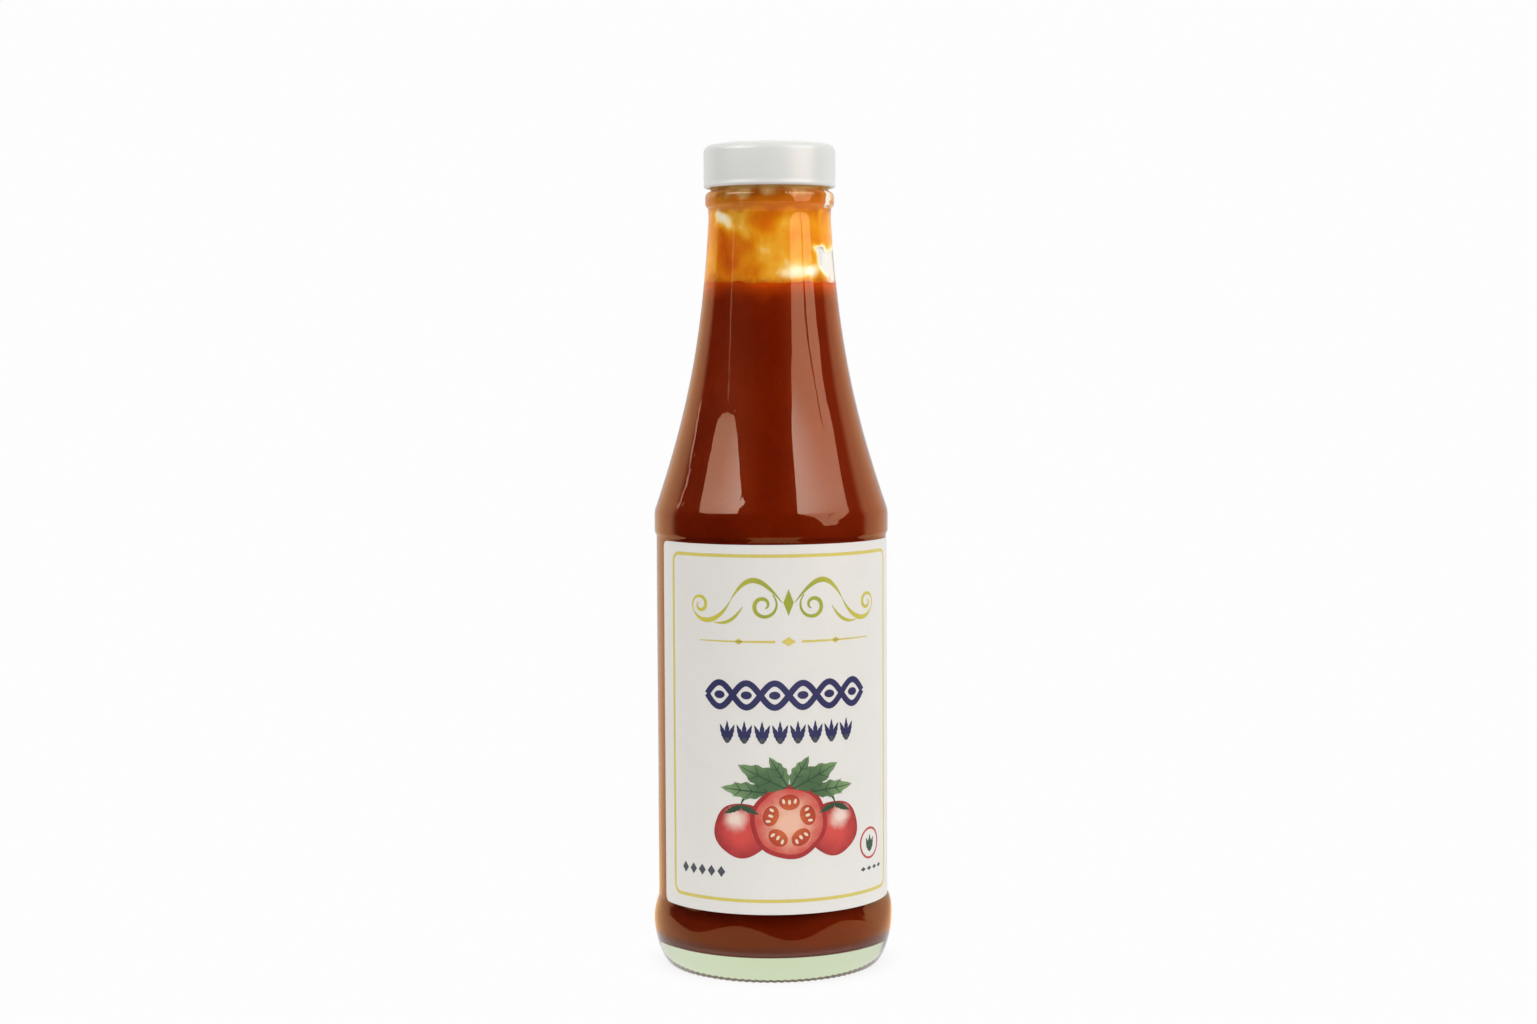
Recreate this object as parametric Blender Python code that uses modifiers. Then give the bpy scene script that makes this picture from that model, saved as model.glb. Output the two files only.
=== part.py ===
"""Sauce bottle: a turned glass bottle with its sauce, a steel twist-off cap and a paper label.

Metres, +Z up. The origin is the middle of the ring that the bottle stands on,
and the label faces -Y.
"""
import math

import bmesh
import bpy

MM = 0.001

# The whole turned body
STEPS = 48
GAP = 0.3 * MM
WALL = 2.4 * MM
MERGE_DISTANCE = 0.01 * MM

# Mouth, and the ring that the moulds grip below it
MOUTH_TOP = 201.1 * MM
FINISH_RADIUS = 14.5 * MM
LIP_ROUNDING = 0.8 * MM
RING_RADIUS = 15.9 * MM
RING_TOP = 190.5 * MM
RING_BOTTOM = 186.2 * MM
RING_ROUNDING = 1.4 * MM

# Neck and shoulder, one long slope
NECK_RADIUS = 15.1 * MM
NECK_TOP = 184.0 * MM
NECK_SLOPE = 0.058
NECK_HANDLE = 28.0 * MM
SLOPE_BOTTOM = 113.2 * MM
SHOULDER_SLOPE = 0.34
SHOULDER_HANDLE = 25.0 * MM
SHOULDER_RADIUS = 28.9 * MM
SHOULDER_ROUNDING = 6.0 * MM

# Straight panel for the label, between two bulges
PANEL_RADIUS = 28.35 * MM
PANEL_TOP = 106.1 * MM
PANEL_BOTTOM = 17.0 * MM
PANEL_STEP = 1.4 * MM
BULGE_RADIUS = 29.7 * MM
BULGE_HEIGHT = 11.4 * MM
BULGE_LEAD = 0.14 * MM
BULGE_EASE = 0.42 * MM
BULGE_DROP = 2.4 * MM

# Standing ring, hollow below it and thick base above it
STAND_OUTER = 25.7 * MM
STAND_INNER = 23.6 * MM
HEEL_HANDLE = 6.3 * MM
HEEL_REACH = 1.7 * MM
HOLLOW_RADIUS = 18.0 * MM
HOLLOW_EDGE = 1.4 * MM
HOLLOW_TOP = 2.0 * MM
HOLLOW_LEAD = 1.0 * MM
FLOOR_EDGE = 6.2 * MM
FLOOR_MIDDLE = 7.4 * MM
FLOOR_RADIUS = 18.0 * MM

# Sauce, whose top dips in the middle and climbs to a narrow flat rim at the wall
FILL_HEIGHT = 168.0 * MM
FILL_DIP = 1.1 * MM
FILL_CLIMB = 3.2 * MM
FILL_SHOULDER = 1.6 * MM
FILL_SHOULDER_DIP = 0.8 * MM
FILL_RIM = 0.5 * MM

# Cap
CAP_TOP = 201.9 * MM
CAP_RIM = 191.3 * MM
CAP_RADIUS = 16.2 * MM
CAP_SHEET = 0.5 * MM
CAP_ROUNDING = 2.0 * MM
CAP_PANEL_RADIUS = 12.6 * MM
CAP_PANEL_DROP = 0.25 * MM
CURL_RADIUS = 0.65 * MM

# Label
LABEL_ARC = math.radians(147.0)
LABEL_TOP = 105.7 * MM
LABEL_BOTTOM = 17.2 * MM
LABEL_PAPER = 0.2 * MM
LABEL_CORNER = 1.6 * MM
LABEL_COLUMNS = 36
CORNER_COLUMNS = 4

# Finishes: colour, then roughness
GLASS_FINISH = ((0.80, 0.87, 0.80), 0.04)
SAUCE_FINISH = ((0.19, 0.014, 0.002), 0.3)
ENAMEL_FINISH = ((0.80, 0.80, 0.77), 0.3)
PAPER_FINISH = ((0.76, 0.73, 0.68), 0.55)


def arc(centre, radius, start, end, segments):
    """Points of an arc in the (radius, height) plane; 0 degrees points outward, 90 up."""
    points = []
    for index in range(segments + 1):
        angle = math.radians(start + (end - start) * index / segments)
        points.append((centre[0] + radius * math.cos(angle), centre[1] + radius * math.sin(angle)))
    return points


def bezier(start, handle_a, handle_b, end, segments):
    """Points of a cubic curve in the (radius, height) plane."""
    points = []
    for index in range(segments + 1):
        t = index / segments
        weights = ((1 - t) ** 3, 3 * t * (1 - t) ** 2, 3 * t * t * (1 - t), t ** 3)
        corners = (start, handle_a, handle_b, end)
        points.append(tuple(sum(w * c[axis] for w, c in zip(weights, corners)) for axis in (0, 1)))
    return points


def ease(start, end, segments):
    """Points of a soft step from one radius to another."""
    points = []
    for index in range(segments + 1):
        t = index / segments
        smooth = t * t * (3 - 2 * t)
        points.append((start[0] + (end[0] - start[0]) * smooth, start[1] + (end[1] - start[1]) * t))
    return points


def without_repeats(points):
    """The same outline without points that fall on the one before."""
    kept = [points[0]]
    for point in points[1:]:
        if math.dist(point, kept[-1]) > MERGE_DISTANCE:
            kept.append(point)
    return kept


def cut_at(points, height):
    """The part of a falling outline that lies below a height, from a point at that height."""
    for index, (above, below) in enumerate(zip(points, points[1:])):
        if above[1] >= height > below[1]:
            share = (above[1] - height) / (above[1] - below[1])
            edge = above[0] + share * (below[0] - above[0])
            return [(edge, height)] + points[index + 1:]
    return points


def shoulder_and_neck(inset):
    """The long slope from the neck down to the panel, moved inward by an inset."""
    lean = math.atan(SHOULDER_SLOPE)
    round_height = SLOPE_BOTTOM - SHOULDER_ROUNDING * math.sin(lean)
    round_centre = (SHOULDER_RADIUS - SHOULDER_ROUNDING, round_height)
    rounding = arc(round_centre, SHOULDER_ROUNDING, math.degrees(lean), 0, 3)
    foot = rounding[0]
    slope = bezier(
        (NECK_RADIUS, NECK_TOP),
        (NECK_RADIUS + NECK_SLOPE * NECK_HANDLE, NECK_TOP - NECK_HANDLE),
        (foot[0] - SHOULDER_SLOPE * SHOULDER_HANDLE, foot[1] + SHOULDER_HANDLE),
        foot,
        8,
    )
    step = ease((SHOULDER_RADIUS, PANEL_TOP + PANEL_STEP), (PANEL_RADIUS, PANEL_TOP), 3)
    return [(radius - inset, height) for radius, height in slope + rounding[1:] + step]


def cavity(clearance):
    """The inside of the glass from the neck to the middle of its floor, less a clearance."""
    inset = WALL + clearance
    floor_edge = FLOOR_EDGE + clearance
    bulge = BULGE_RADIUS - inset
    panel = PANEL_RADIUS - inset
    upper = shoulder_and_neck(inset)
    step = ease((panel, PANEL_BOTTOM + PANEL_STEP), (bulge, BULGE_HEIGHT + PANEL_STEP), 3)
    corner = bezier(
        (bulge, BULGE_HEIGHT + PANEL_STEP),
        (bulge, floor_edge + PANEL_STEP),
        (bulge - PANEL_STEP, floor_edge),
        (FLOOR_RADIUS, floor_edge),
        6,
    )
    return upper + step + corner[1:] + [(0.0, FLOOR_MIDDLE + clearance)]


def glass_outside():
    """The outside of the glass from its lip to the middle of the hollow below."""
    bore = NECK_RADIUS - WALL
    lip_inner = arc((bore + LIP_ROUNDING, MOUTH_TOP - LIP_ROUNDING), LIP_ROUNDING, 180, 90, 3)
    lip_outer = arc((FINISH_RADIUS - LIP_ROUNDING, MOUTH_TOP - LIP_ROUNDING), LIP_ROUNDING, 90, 0, 3)
    ring_middle = RING_RADIUS - RING_ROUNDING
    ring_upper = arc((ring_middle, RING_TOP - RING_ROUNDING), RING_ROUNDING, 90, 0, 3)
    ring_lower = arc((ring_middle, RING_BOTTOM + RING_ROUNDING), RING_ROUNDING, 0, -60, 3)
    base_bulge = bezier(
        (PANEL_RADIUS, PANEL_BOTTOM),
        (PANEL_RADIUS + BULGE_LEAD, PANEL_BOTTOM - BULGE_EASE),
        (BULGE_RADIUS, PANEL_BOTTOM - BULGE_DROP),
        (BULGE_RADIUS, BULGE_HEIGHT),
        5,
    )
    heel = bezier(
        (BULGE_RADIUS, BULGE_HEIGHT),
        (BULGE_RADIUS, HEEL_HANDLE),
        (STAND_OUTER + HEEL_REACH, 0.0),
        (STAND_OUTER, 0.0),
        6,
    )
    hollow = bezier(
        (STAND_INNER, 0.0),
        (STAND_INNER - HOLLOW_LEAD, 0.0),
        (HOLLOW_RADIUS + HOLLOW_LEAD, HOLLOW_EDGE),
        (HOLLOW_RADIUS, HOLLOW_EDGE),
        4,
    )
    return (
        lip_inner
        + lip_outer
        + [(FINISH_RADIUS, RING_TOP)]
        + ring_upper
        + ring_lower
        + shoulder_and_neck(0.0)
        + base_bulge
        + heel[1:]
        + hollow
        + [(0.0, HOLLOW_TOP)]
    )


def turned(name, outline, collection, material):
    """A body turned from its outline, which runs down its outer side."""
    mesh = bpy.data.meshes.new(name)
    vertices = [(radius, 0.0, height) for radius, height in without_repeats(outline)]
    edges = [(index, index + 1) for index in range(len(vertices) - 1)]
    mesh.from_pydata(vertices, edges, [])
    body = bpy.data.objects.new(name, mesh)
    collection.objects.link(body)
    screw = body.modifiers.new("Turn", "SCREW")
    screw.axis = "Z"
    screw.steps = STEPS
    screw.render_steps = STEPS
    screw.use_merge_vertices = True
    screw.merge_threshold = MERGE_DISTANCE
    screw.use_smooth_shade = True
    mesh.materials.append(material)
    return body


def finish_material(name, finish, transmission=0.0):
    """A Principled material from its colour and roughness; none of the finishes is bare metal."""
    colour, roughness = finish
    material = bpy.data.materials.new(name)
    material.use_nodes = True
    shader = material.node_tree.nodes["Principled BSDF"]
    shader.inputs["Base Color"].default_value = (*colour, 1.0)
    shader.inputs["Roughness"].default_value = roughness
    shader.inputs["Metallic"].default_value = 0.0
    shader.inputs["Transmission Weight"].default_value = transmission
    material.diffuse_color = (*colour, 1.0)
    return material


def make_bottle(collection):
    """The glass: a hollow turned shell with an open mouth and a thick, hollowed base."""
    inside = list(reversed(cavity(0.0)))
    material = finish_material("bottle_glass", GLASS_FINISH, transmission=1.0)
    return turned("bottle_glass", inside + glass_outside(), collection, material)


def make_sauce(collection):
    """The sauce: it fills the cavity to its level and climbs a little at the wall."""
    sides = cut_at(cavity(GAP), FILL_HEIGHT)
    edge = sides[0][0]
    top = [
        (0.0, FILL_HEIGHT - FILL_DIP),
        (edge - FILL_CLIMB, FILL_HEIGHT - FILL_DIP),
        (edge - FILL_SHOULDER, FILL_HEIGHT - FILL_SHOULDER_DIP),
        (edge - FILL_RIM, FILL_HEIGHT),
    ]
    material = finish_material("ketchup", SAUCE_FINISH)
    return turned("ketchup", top + sides, collection, material)


def make_cap(collection):
    """The cap: pressed sheet with a rounded edge, a sunk panel and a curl at its rim."""
    panel = ease((CAP_PANEL_RADIUS, CAP_TOP - CAP_PANEL_DROP), (CAP_PANEL_RADIUS + 2 * CAP_SHEET, CAP_TOP), 3)
    outer_centre = (CAP_RADIUS - CAP_ROUNDING, CAP_TOP - CAP_ROUNDING)
    outer_edge = arc(outer_centre, CAP_ROUNDING, 90, 0, 5)
    curl = arc((CAP_RADIUS - CURL_RADIUS, CAP_RIM + CURL_RADIUS), CURL_RADIUS, 0, -180, 6)
    inner_radius = CAP_RADIUS - CAP_SHEET
    inner_rim = [(inner_radius, CAP_RIM + 3 * CURL_RADIUS)]
    inner_edge = arc(outer_centre, CAP_ROUNDING - CAP_SHEET, 0, 90, 3)
    underside = CAP_TOP - CAP_PANEL_DROP - CAP_SHEET
    panel_underside = [(CAP_PANEL_RADIUS, underside), (0.0, underside)]
    outside = [(0.0, CAP_TOP - CAP_PANEL_DROP)] + panel + outer_edge + curl
    inside = inner_rim + inner_edge + panel_underside
    material = finish_material("cap_enamel", ENAMEL_FINISH)
    return turned("cap", outside + inside, collection, material)


def label_half_height(along):
    """Half the label's height at a distance along it, less where its corners are round."""
    half_width = 0.5 * LABEL_ARC * (PANEL_RADIUS + GAP)
    half_height = 0.5 * (LABEL_TOP - LABEL_BOTTOM)
    into_corner = max(0.0, abs(along) - (half_width - LABEL_CORNER))
    return half_height - LABEL_CORNER + math.sqrt(max(0.0, LABEL_CORNER ** 2 - into_corner ** 2))


def label_columns():
    """Distances along the label from -1 to 1, closer together where its corners turn."""
    half_width = 0.5 * LABEL_ARC * (PANEL_RADIUS + GAP)
    straight = half_width - LABEL_CORNER
    middle = [straight * (2 * index / LABEL_COLUMNS - 1) for index in range(LABEL_COLUMNS + 1)]
    angles = [math.radians(90.0 * index / CORNER_COLUMNS) for index in range(1, CORNER_COLUMNS + 1)]
    corner = [straight + LABEL_CORNER * math.sin(angle) for angle in angles]
    return [-along for along in reversed(corner)] + middle + corner


def make_label(collection):
    """The label: a strip of paper bent round the panel, thickened outward."""
    radius = PANEL_RADIUS + GAP
    columns = label_columns()
    middle_height = 0.5 * (LABEL_TOP + LABEL_BOTTOM)
    shape = bmesh.new()
    bmesh.ops.create_grid(shape, x_segments=len(columns) - 1, y_segments=1, size=1.0)
    for vertex in shape.verts:
        index = round(0.5 * (vertex.co.x + 1.0) * (len(columns) - 1))
        along = columns[index]
        angle = along / radius
        height = middle_height + math.copysign(label_half_height(along), vertex.co.y)
        vertex.co = (radius * math.sin(angle), -radius * math.cos(angle), height)
    mesh = bpy.data.meshes.new("label")
    shape.to_mesh(mesh)
    shape.free()
    mesh.materials.append(finish_material("label_paper", PAPER_FINISH))
    label = bpy.data.objects.new("label", mesh)
    collection.objects.link(label)
    paper = label.modifiers.new("Paper", "SOLIDIFY")
    paper.thickness = LABEL_PAPER
    paper.offset = 1.0
    return label


def main():
    """Clear the scene and build the four pieces."""
    for item in list(bpy.data.objects):
        bpy.data.objects.remove(item, do_unlink=True)
    collection = bpy.data.collections.new("sauce_bottle")
    bpy.context.scene.collection.children.link(collection)
    make_bottle(collection)
    make_sauce(collection)
    make_cap(collection)
    make_label(collection)


main()
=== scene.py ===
# %% [markdown]
# # A sauce bottle, dressed
#
# The bottle arrives as four plain solids: glass, sauce, cap and label. Each one is replaced here
# by a finer piece of the same form, in the same place. The solids could be shown as they are, but
# their facets would break up the reflections that make glass look like glass.

# %% Load the frame
import math

import bmesh
import bpy
from mathutils import Matrix, Vector, noise


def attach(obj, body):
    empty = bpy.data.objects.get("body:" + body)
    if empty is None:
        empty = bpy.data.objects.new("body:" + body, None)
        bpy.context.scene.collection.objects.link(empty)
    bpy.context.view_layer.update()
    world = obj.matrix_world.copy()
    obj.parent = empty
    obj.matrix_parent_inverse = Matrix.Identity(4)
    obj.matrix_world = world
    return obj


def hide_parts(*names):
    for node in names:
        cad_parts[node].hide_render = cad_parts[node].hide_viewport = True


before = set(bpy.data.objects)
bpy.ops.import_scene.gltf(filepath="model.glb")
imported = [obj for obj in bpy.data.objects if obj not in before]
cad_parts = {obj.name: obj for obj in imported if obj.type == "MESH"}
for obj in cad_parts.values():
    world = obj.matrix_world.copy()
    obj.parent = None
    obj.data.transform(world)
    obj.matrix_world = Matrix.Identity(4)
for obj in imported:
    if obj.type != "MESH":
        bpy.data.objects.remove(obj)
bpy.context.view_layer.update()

# %% [markdown]
# ## Sizes
#
# The sizes are those of the turned bottle, in metres. Heights are measured from the surface that it
# stands on and radii from its axis, so one outline gives the glass, the sauce and the film inside.

# %% Sizes of the bottle
MM = 0.001
BODY = "root"

WALL = 2.4 * MM
MOUTH_TOP = 201.1 * MM
FINISH_RADIUS = 14.5 * MM
LIP_ROUNDING = 0.8 * MM
RING_RADIUS = 15.9 * MM
RING_TOP = 190.5 * MM
RING_BOTTOM = 186.2 * MM
RING_ROUNDING = 1.4 * MM
NECK_RADIUS = 15.1 * MM
NECK_TOP = 184.0 * MM
NECK_SLOPE = 0.058
NECK_HANDLE = 28.0 * MM
SLOPE_BOTTOM = 113.2 * MM
SHOULDER_SLOPE = 0.34
SHOULDER_HANDLE = 25.0 * MM
SHOULDER_RADIUS = 28.9 * MM
SHOULDER_ROUNDING = 6.0 * MM
PANEL_RADIUS = 28.45 * MM
PANEL_TOP = 106.1 * MM
PANEL_BOTTOM = 17.0 * MM
PANEL_STEP = 1.4 * MM
BULGE_RADIUS = 29.68 * MM
BULGE_HEIGHT = 11.4 * MM
BULGE_LEAD = 0.14 * MM
BULGE_EASE = 0.42 * MM
BULGE_DROP = 2.4 * MM
STAND_OUTER = 25.7 * MM
STAND_INNER = 23.6 * MM
HEEL_HANDLE = 6.3 * MM
HEEL_REACH = 1.7 * MM
HOLLOW_RADIUS = 18.0 * MM
HOLLOW_EDGE = 1.4 * MM
HOLLOW_TOP = 2.0 * MM
HOLLOW_LEAD = 1.0 * MM
FLOOR_EDGE = 6.2 * MM
FLOOR_MIDDLE = 7.4 * MM
FLOOR_RADIUS = 18.0 * MM
FILL_HEIGHT = 168.0 * MM

# %% [markdown]
# ## Outlines
#
# A bottle is blown in a mould that is turned on a lathe, so every part of it is an outline swept
# round the axis. Arcs and cubic curves keep that outline smooth with few numbers to change. The
# inside of the glass follows the outside at the wall's thickness, and a thick floor closes it.


# %% Curves in the plane of radius and height
def arc(centre, radius, start, end, segments):
    """Points of an arc; 0 degrees points outward and 90 up."""
    points = []
    for index in range(segments + 1):
        angle = math.radians(start + (end - start) * index / segments)
        points.append((centre[0] + radius * math.cos(angle), centre[1] + radius * math.sin(angle)))
    return points


def bezier(start, handle_a, handle_b, end, segments):
    """Points of a cubic curve between two points."""
    points = []
    for index in range(segments + 1):
        t = index / segments
        weights = ((1 - t) ** 3, 3 * t * (1 - t) ** 2, 3 * t * t * (1 - t), t ** 3)
        corners = (start, handle_a, handle_b, end)
        points.append(tuple(sum(w * c[axis] for w, c in zip(weights, corners)) for axis in (0, 1)))
    return points


def ease(start, end, segments):
    """Points of a soft step from one radius to another."""
    points = []
    for index in range(segments + 1):
        t = index / segments
        smooth = t * t * (3 - 2 * t)
        points.append((start[0] + (end[0] - start[0]) * smooth, start[1] + (end[1] - start[1]) * t))
    return points


def straight(start, end, segments):
    """Evenly spaced points between two points, without the first and the last."""
    return [
        tuple(a + (b - a) * index / segments for a, b in zip(start, end))
        for index in range(1, segments)
    ]


def cut_at(points, height):
    """The part of a falling outline below a height, from a point at that height."""
    for index, (above, below) in enumerate(zip(points, points[1:])):
        if above[1] >= height > below[1]:
            share = (above[1] - height) / (above[1] - below[1])
            edge = above[0] + share * (below[0] - above[0])
            return [(edge, height)] + points[index + 1:]
    return points


# %% The outline of the glass
def shoulder_and_neck(inset):
    """The long slope from the neck down to the label panel, moved inward by an inset."""
    lean = math.atan(SHOULDER_SLOPE)
    round_height = SLOPE_BOTTOM - SHOULDER_ROUNDING * math.sin(lean)
    round_centre = (SHOULDER_RADIUS - SHOULDER_ROUNDING, round_height)
    rounding = arc(round_centre, SHOULDER_ROUNDING, math.degrees(lean), 0, 8)
    foot = rounding[0]
    slope = bezier(
        (NECK_RADIUS, NECK_TOP),
        (NECK_RADIUS + NECK_SLOPE * NECK_HANDLE, NECK_TOP - NECK_HANDLE),
        (foot[0] - SHOULDER_SLOPE * SHOULDER_HANDLE, foot[1] + SHOULDER_HANDLE),
        foot,
        36,
    )
    step_top = (SHOULDER_RADIUS, PANEL_TOP + PANEL_STEP)
    step = ease(step_top, (PANEL_RADIUS, PANEL_TOP), 8)
    band = straight(rounding[-1], step_top, 3)
    return [(radius - inset, height) for radius, height in slope + rounding[1:] + band + step]


def cavity(clearance):
    """The inside of the glass from the neck to the middle of its floor, less a clearance."""
    inset = WALL + clearance
    floor_edge = FLOOR_EDGE + clearance
    bulge = BULGE_RADIUS - inset
    panel = PANEL_RADIUS - inset
    upper = shoulder_and_neck(inset)
    step = ease((panel, PANEL_BOTTOM + PANEL_STEP), (bulge, BULGE_HEIGHT + PANEL_STEP), 8)
    corner = bezier(
        (bulge, BULGE_HEIGHT + PANEL_STEP),
        (bulge, floor_edge + PANEL_STEP),
        (bulge - PANEL_STEP, floor_edge),
        (FLOOR_RADIUS, floor_edge),
        16,
    )
    panel_rows = straight(upper[-1], step[0], 30)
    floor_rows = straight(corner[-1], (0.0, FLOOR_MIDDLE + clearance), 6)
    return upper + panel_rows + step + corner[1:] + floor_rows + [(0.0, FLOOR_MIDDLE + clearance)]


def glass_outside():
    """The outside of the glass from its lip to the middle of the hollow below."""
    bore = NECK_RADIUS - WALL
    lip_inner = arc((bore + LIP_ROUNDING, MOUTH_TOP - LIP_ROUNDING), LIP_ROUNDING, 180, 90, 5)
    lip_outer = arc((FINISH_RADIUS - LIP_ROUNDING, MOUTH_TOP - LIP_ROUNDING), LIP_ROUNDING, 90, 0, 5)
    ring_middle = RING_RADIUS - RING_ROUNDING
    ring_upper = arc((ring_middle, RING_TOP - RING_ROUNDING), RING_ROUNDING, 90, 0, 8)
    ring_lower = arc((ring_middle, RING_BOTTOM + RING_ROUNDING), RING_ROUNDING, 0, -60, 8)
    upper = shoulder_and_neck(0.0)
    base_bulge = bezier(
        (PANEL_RADIUS, PANEL_BOTTOM),
        (PANEL_RADIUS + BULGE_LEAD, PANEL_BOTTOM - BULGE_EASE),
        (BULGE_RADIUS, PANEL_BOTTOM - BULGE_DROP),
        (BULGE_RADIUS, BULGE_HEIGHT),
        14,
    )
    heel = bezier(
        (BULGE_RADIUS, BULGE_HEIGHT),
        (BULGE_RADIUS, HEEL_HANDLE),
        (STAND_OUTER + HEEL_REACH, 0.0),
        (STAND_OUTER, 0.0),
        18,
    )
    ring_rows = straight((STAND_OUTER, 0.0), (STAND_INNER, 0.0), 5)
    hollow = bezier(
        (STAND_INNER, 0.0),
        (STAND_INNER - HOLLOW_LEAD, 0.0),
        (HOLLOW_RADIUS + HOLLOW_LEAD, HOLLOW_EDGE),
        (HOLLOW_RADIUS, HOLLOW_EDGE),
        10,
    )
    panel_rows = straight(upper[-1], base_bulge[0], 30)
    middle = straight(hollow[-1], (0.0, HOLLOW_TOP), 5) + [(0.0, HOLLOW_TOP)]
    mouth = lip_inner + lip_outer[1:] + [(FINISH_RADIUS, RING_TOP)]
    body = ring_upper + ring_lower + upper + panel_rows + base_bulge + heel[1:]
    return mouth + body + ring_rows + hollow + middle


outside = glass_outside()
print("outline points:", len(outside), "widest mm:", round(max(r for r, z in outside) / MM, 2))


# %% [markdown]
# ## Turning an outline into a mesh
#
# Blender's Screw modifier would turn an outline too, but here each point also gets a small shift of
# its own: moulded glass is never quite true. A plain loop over rows and steps leaves room for that.


# %% Turned meshes
def new_object(name, data):
    """An object made of some data, linked to the scene."""
    made = bpy.data.objects.new(name, data)
    bpy.context.scene.collection.objects.link(made)
    return made


def mesh_piece(name, vertices, faces):
    """A new object from points and faces, riding on the bottle's one body."""
    mesh = bpy.data.meshes.new(name)
    mesh.from_pydata(vertices, [], faces)
    mesh.validate()
    mesh.polygons.foreach_set("use_smooth", [True] * len(mesh.polygons))
    mesh.update()
    piece = new_object(name, mesh)
    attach(piece, BODY)
    return piece


def turned_piece(name, outline, steps, shift=None):
    """An outline swept round the axis; shift(radius, height, angle) moves each of its points."""
    vertices = []
    rows = []
    for radius, height in outline:
        if radius < 1e-7:
            rows.append([len(vertices)] * steps)
            vertices.append((0.0, 0.0, height))
            continue
        row = []
        for step in range(steps):
            angle = 2 * math.pi * step / steps
            out, up = shift(radius, height, angle) if shift else (0.0, 0.0)
            row.append(len(vertices))
            point = (radius + out, height + up)
            vertices.append((point[0] * math.sin(angle), -point[0] * math.cos(angle), point[1]))
        rows.append(row)
    faces = []
    for above, below in zip(rows, rows[1:]):
        for step in range(steps):
            after = (step + 1) % steps
            corners = [above[step], below[step], below[after], above[after]]
            faces.append(tuple(dict.fromkeys(corners)))
    return mesh_piece(name, vertices, faces)


# %% [markdown]
# ## The glass
#
# A cheap sauce bottle shows its making. The two mould halves leave a fine ridge down each side, the
# surface is faintly wavy where the hot glass cooled, the bulge over the heel sags unevenly, and a
# ring of small bars below keeps the hot bottle off the belt. The bars and ridges are modelled,
# because their highlights have to sit still when the bottle is seen from another side. The waves
# only ever go inward, so that the bottle stays inside its solid, and the sag moves points of the
# bulge up and down.

# %% Make the glass
GLASS_STEPS = 360
WAVE_DEPTH = 0.10 * MM
WAVE_SIZE = 9.0 * MM
WAVE_STRETCH = 0.45
SEAM_HEIGHT = 0.06 * MM
SEAM_WIDTH = 0.45 * MM
SEAM_ANGLES = (math.radians(90), math.radians(-90))
STAND_BARS = 96
BAR_DEPTH = 0.2 * MM
BAR_ROUNDING = 2.2 * MM
SAG_DEPTH = 1.65 * MM
SAG_LOW = 9.0 * MM
SAG_HIGH = 18.0 * MM
SAG_LOBES = 7
SAG_TURN = math.radians(1.6)


def glass_shift(radius, height, angle):
    """Waves, seams, bars and the sag of the bulge, as a point's shift outward and upward."""
    place = Vector((radius * math.sin(angle), -radius * math.cos(angle), WAVE_STRETCH * height))
    wave = -WAVE_DEPTH * (0.5 + 0.5 * noise.noise(place / WAVE_SIZE))
    seam = 0.0
    for seam_angle in SEAM_ANGLES:
        aside = radius * abs(math.remainder(angle - seam_angle, 2 * math.pi))
        seam += SEAM_HEIGHT * math.exp(-((aside / SEAM_WIDTH) ** 2))
    bars = 0.0
    if height < BAR_ROUNDING and radius > STAND_INNER - PANEL_STEP:
        fade = 1.0 - height / BAR_ROUNDING
        bars = BAR_DEPTH * fade * (0.5 - 0.5 * math.cos(STAND_BARS * angle)) ** 2
    sag = 0.0
    if SAG_LOW < height < SAG_HIGH:
        share = math.sin(math.pi * (height - SAG_LOW) / (SAG_HIGH - SAG_LOW))
        uneven = 0.55 + 0.45 * math.cos(angle)
        sag = -SAG_DEPTH * share * uneven * math.cos(SAG_LOBES * (angle - SAG_TURN))
    return wave + min(seam, -wave), bars + sag


inside = list(reversed(cavity(0.0)))
bore_rows = straight(inside[-1], outside[0], 6)
inner_points = set(inside + bore_rows)


def shift_outside_only(radius, height, angle):
    """Leave the smooth cavity alone, so that the sauce meets it all round."""
    return (0.0, 0.0) if (radius, height) in inner_points else glass_shift(radius, height, angle)


glass = turned_piece("glass_bottle", inside + bore_rows + outside, GLASS_STEPS, shift_outside_only)
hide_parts("bottle_glass")
print("glass faces:", len(glass.data.polygons))

# %% [markdown]
# ## The sauce
#
# Thick sauce fills the bottle to the neck and touches the glass everywhere. If the two meshes only
# met, a ray could slip between them and show a bright film of air, so the sauce reaches a little way
# into the wall. Its top sags in the middle and clings to the wall, higher here and lower there.

# %% Make the sauce
SAUCE_STEPS = 180
SAUCE_REACH = 0.15 * MM
TOP_DIP = 1.4 * MM
TOP_ROUGHNESS = 0.9 * MM
TOP_RINGS = 14
TOP_LUMP = 4.0 * MM
CLING_WIDTH = 2.6 * MM


def sauce_top(edge):
    """Rows of the top from its middle to the wall, where the sauce clings and climbs."""
    rows = [(0.0, FILL_HEIGHT - TOP_DIP)]
    for ring in range(1, TOP_RINGS):
        radius = edge * ring / TOP_RINGS
        climb = math.exp(-(edge - radius) / CLING_WIDTH)
        rows.append((radius, FILL_HEIGHT - TOP_DIP * (1.0 - climb)))
    return rows


def sauce_shift(radius, height, angle):
    """Lumps of the top; the sides stay with the glass."""
    if (radius, height) not in top_points:
        return 0.0, 0.0
    place = Vector((radius * math.sin(angle), -radius * math.cos(angle), 0.0)) / TOP_LUMP
    return 0.0, TOP_ROUGHNESS * noise.noise(place)


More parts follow.
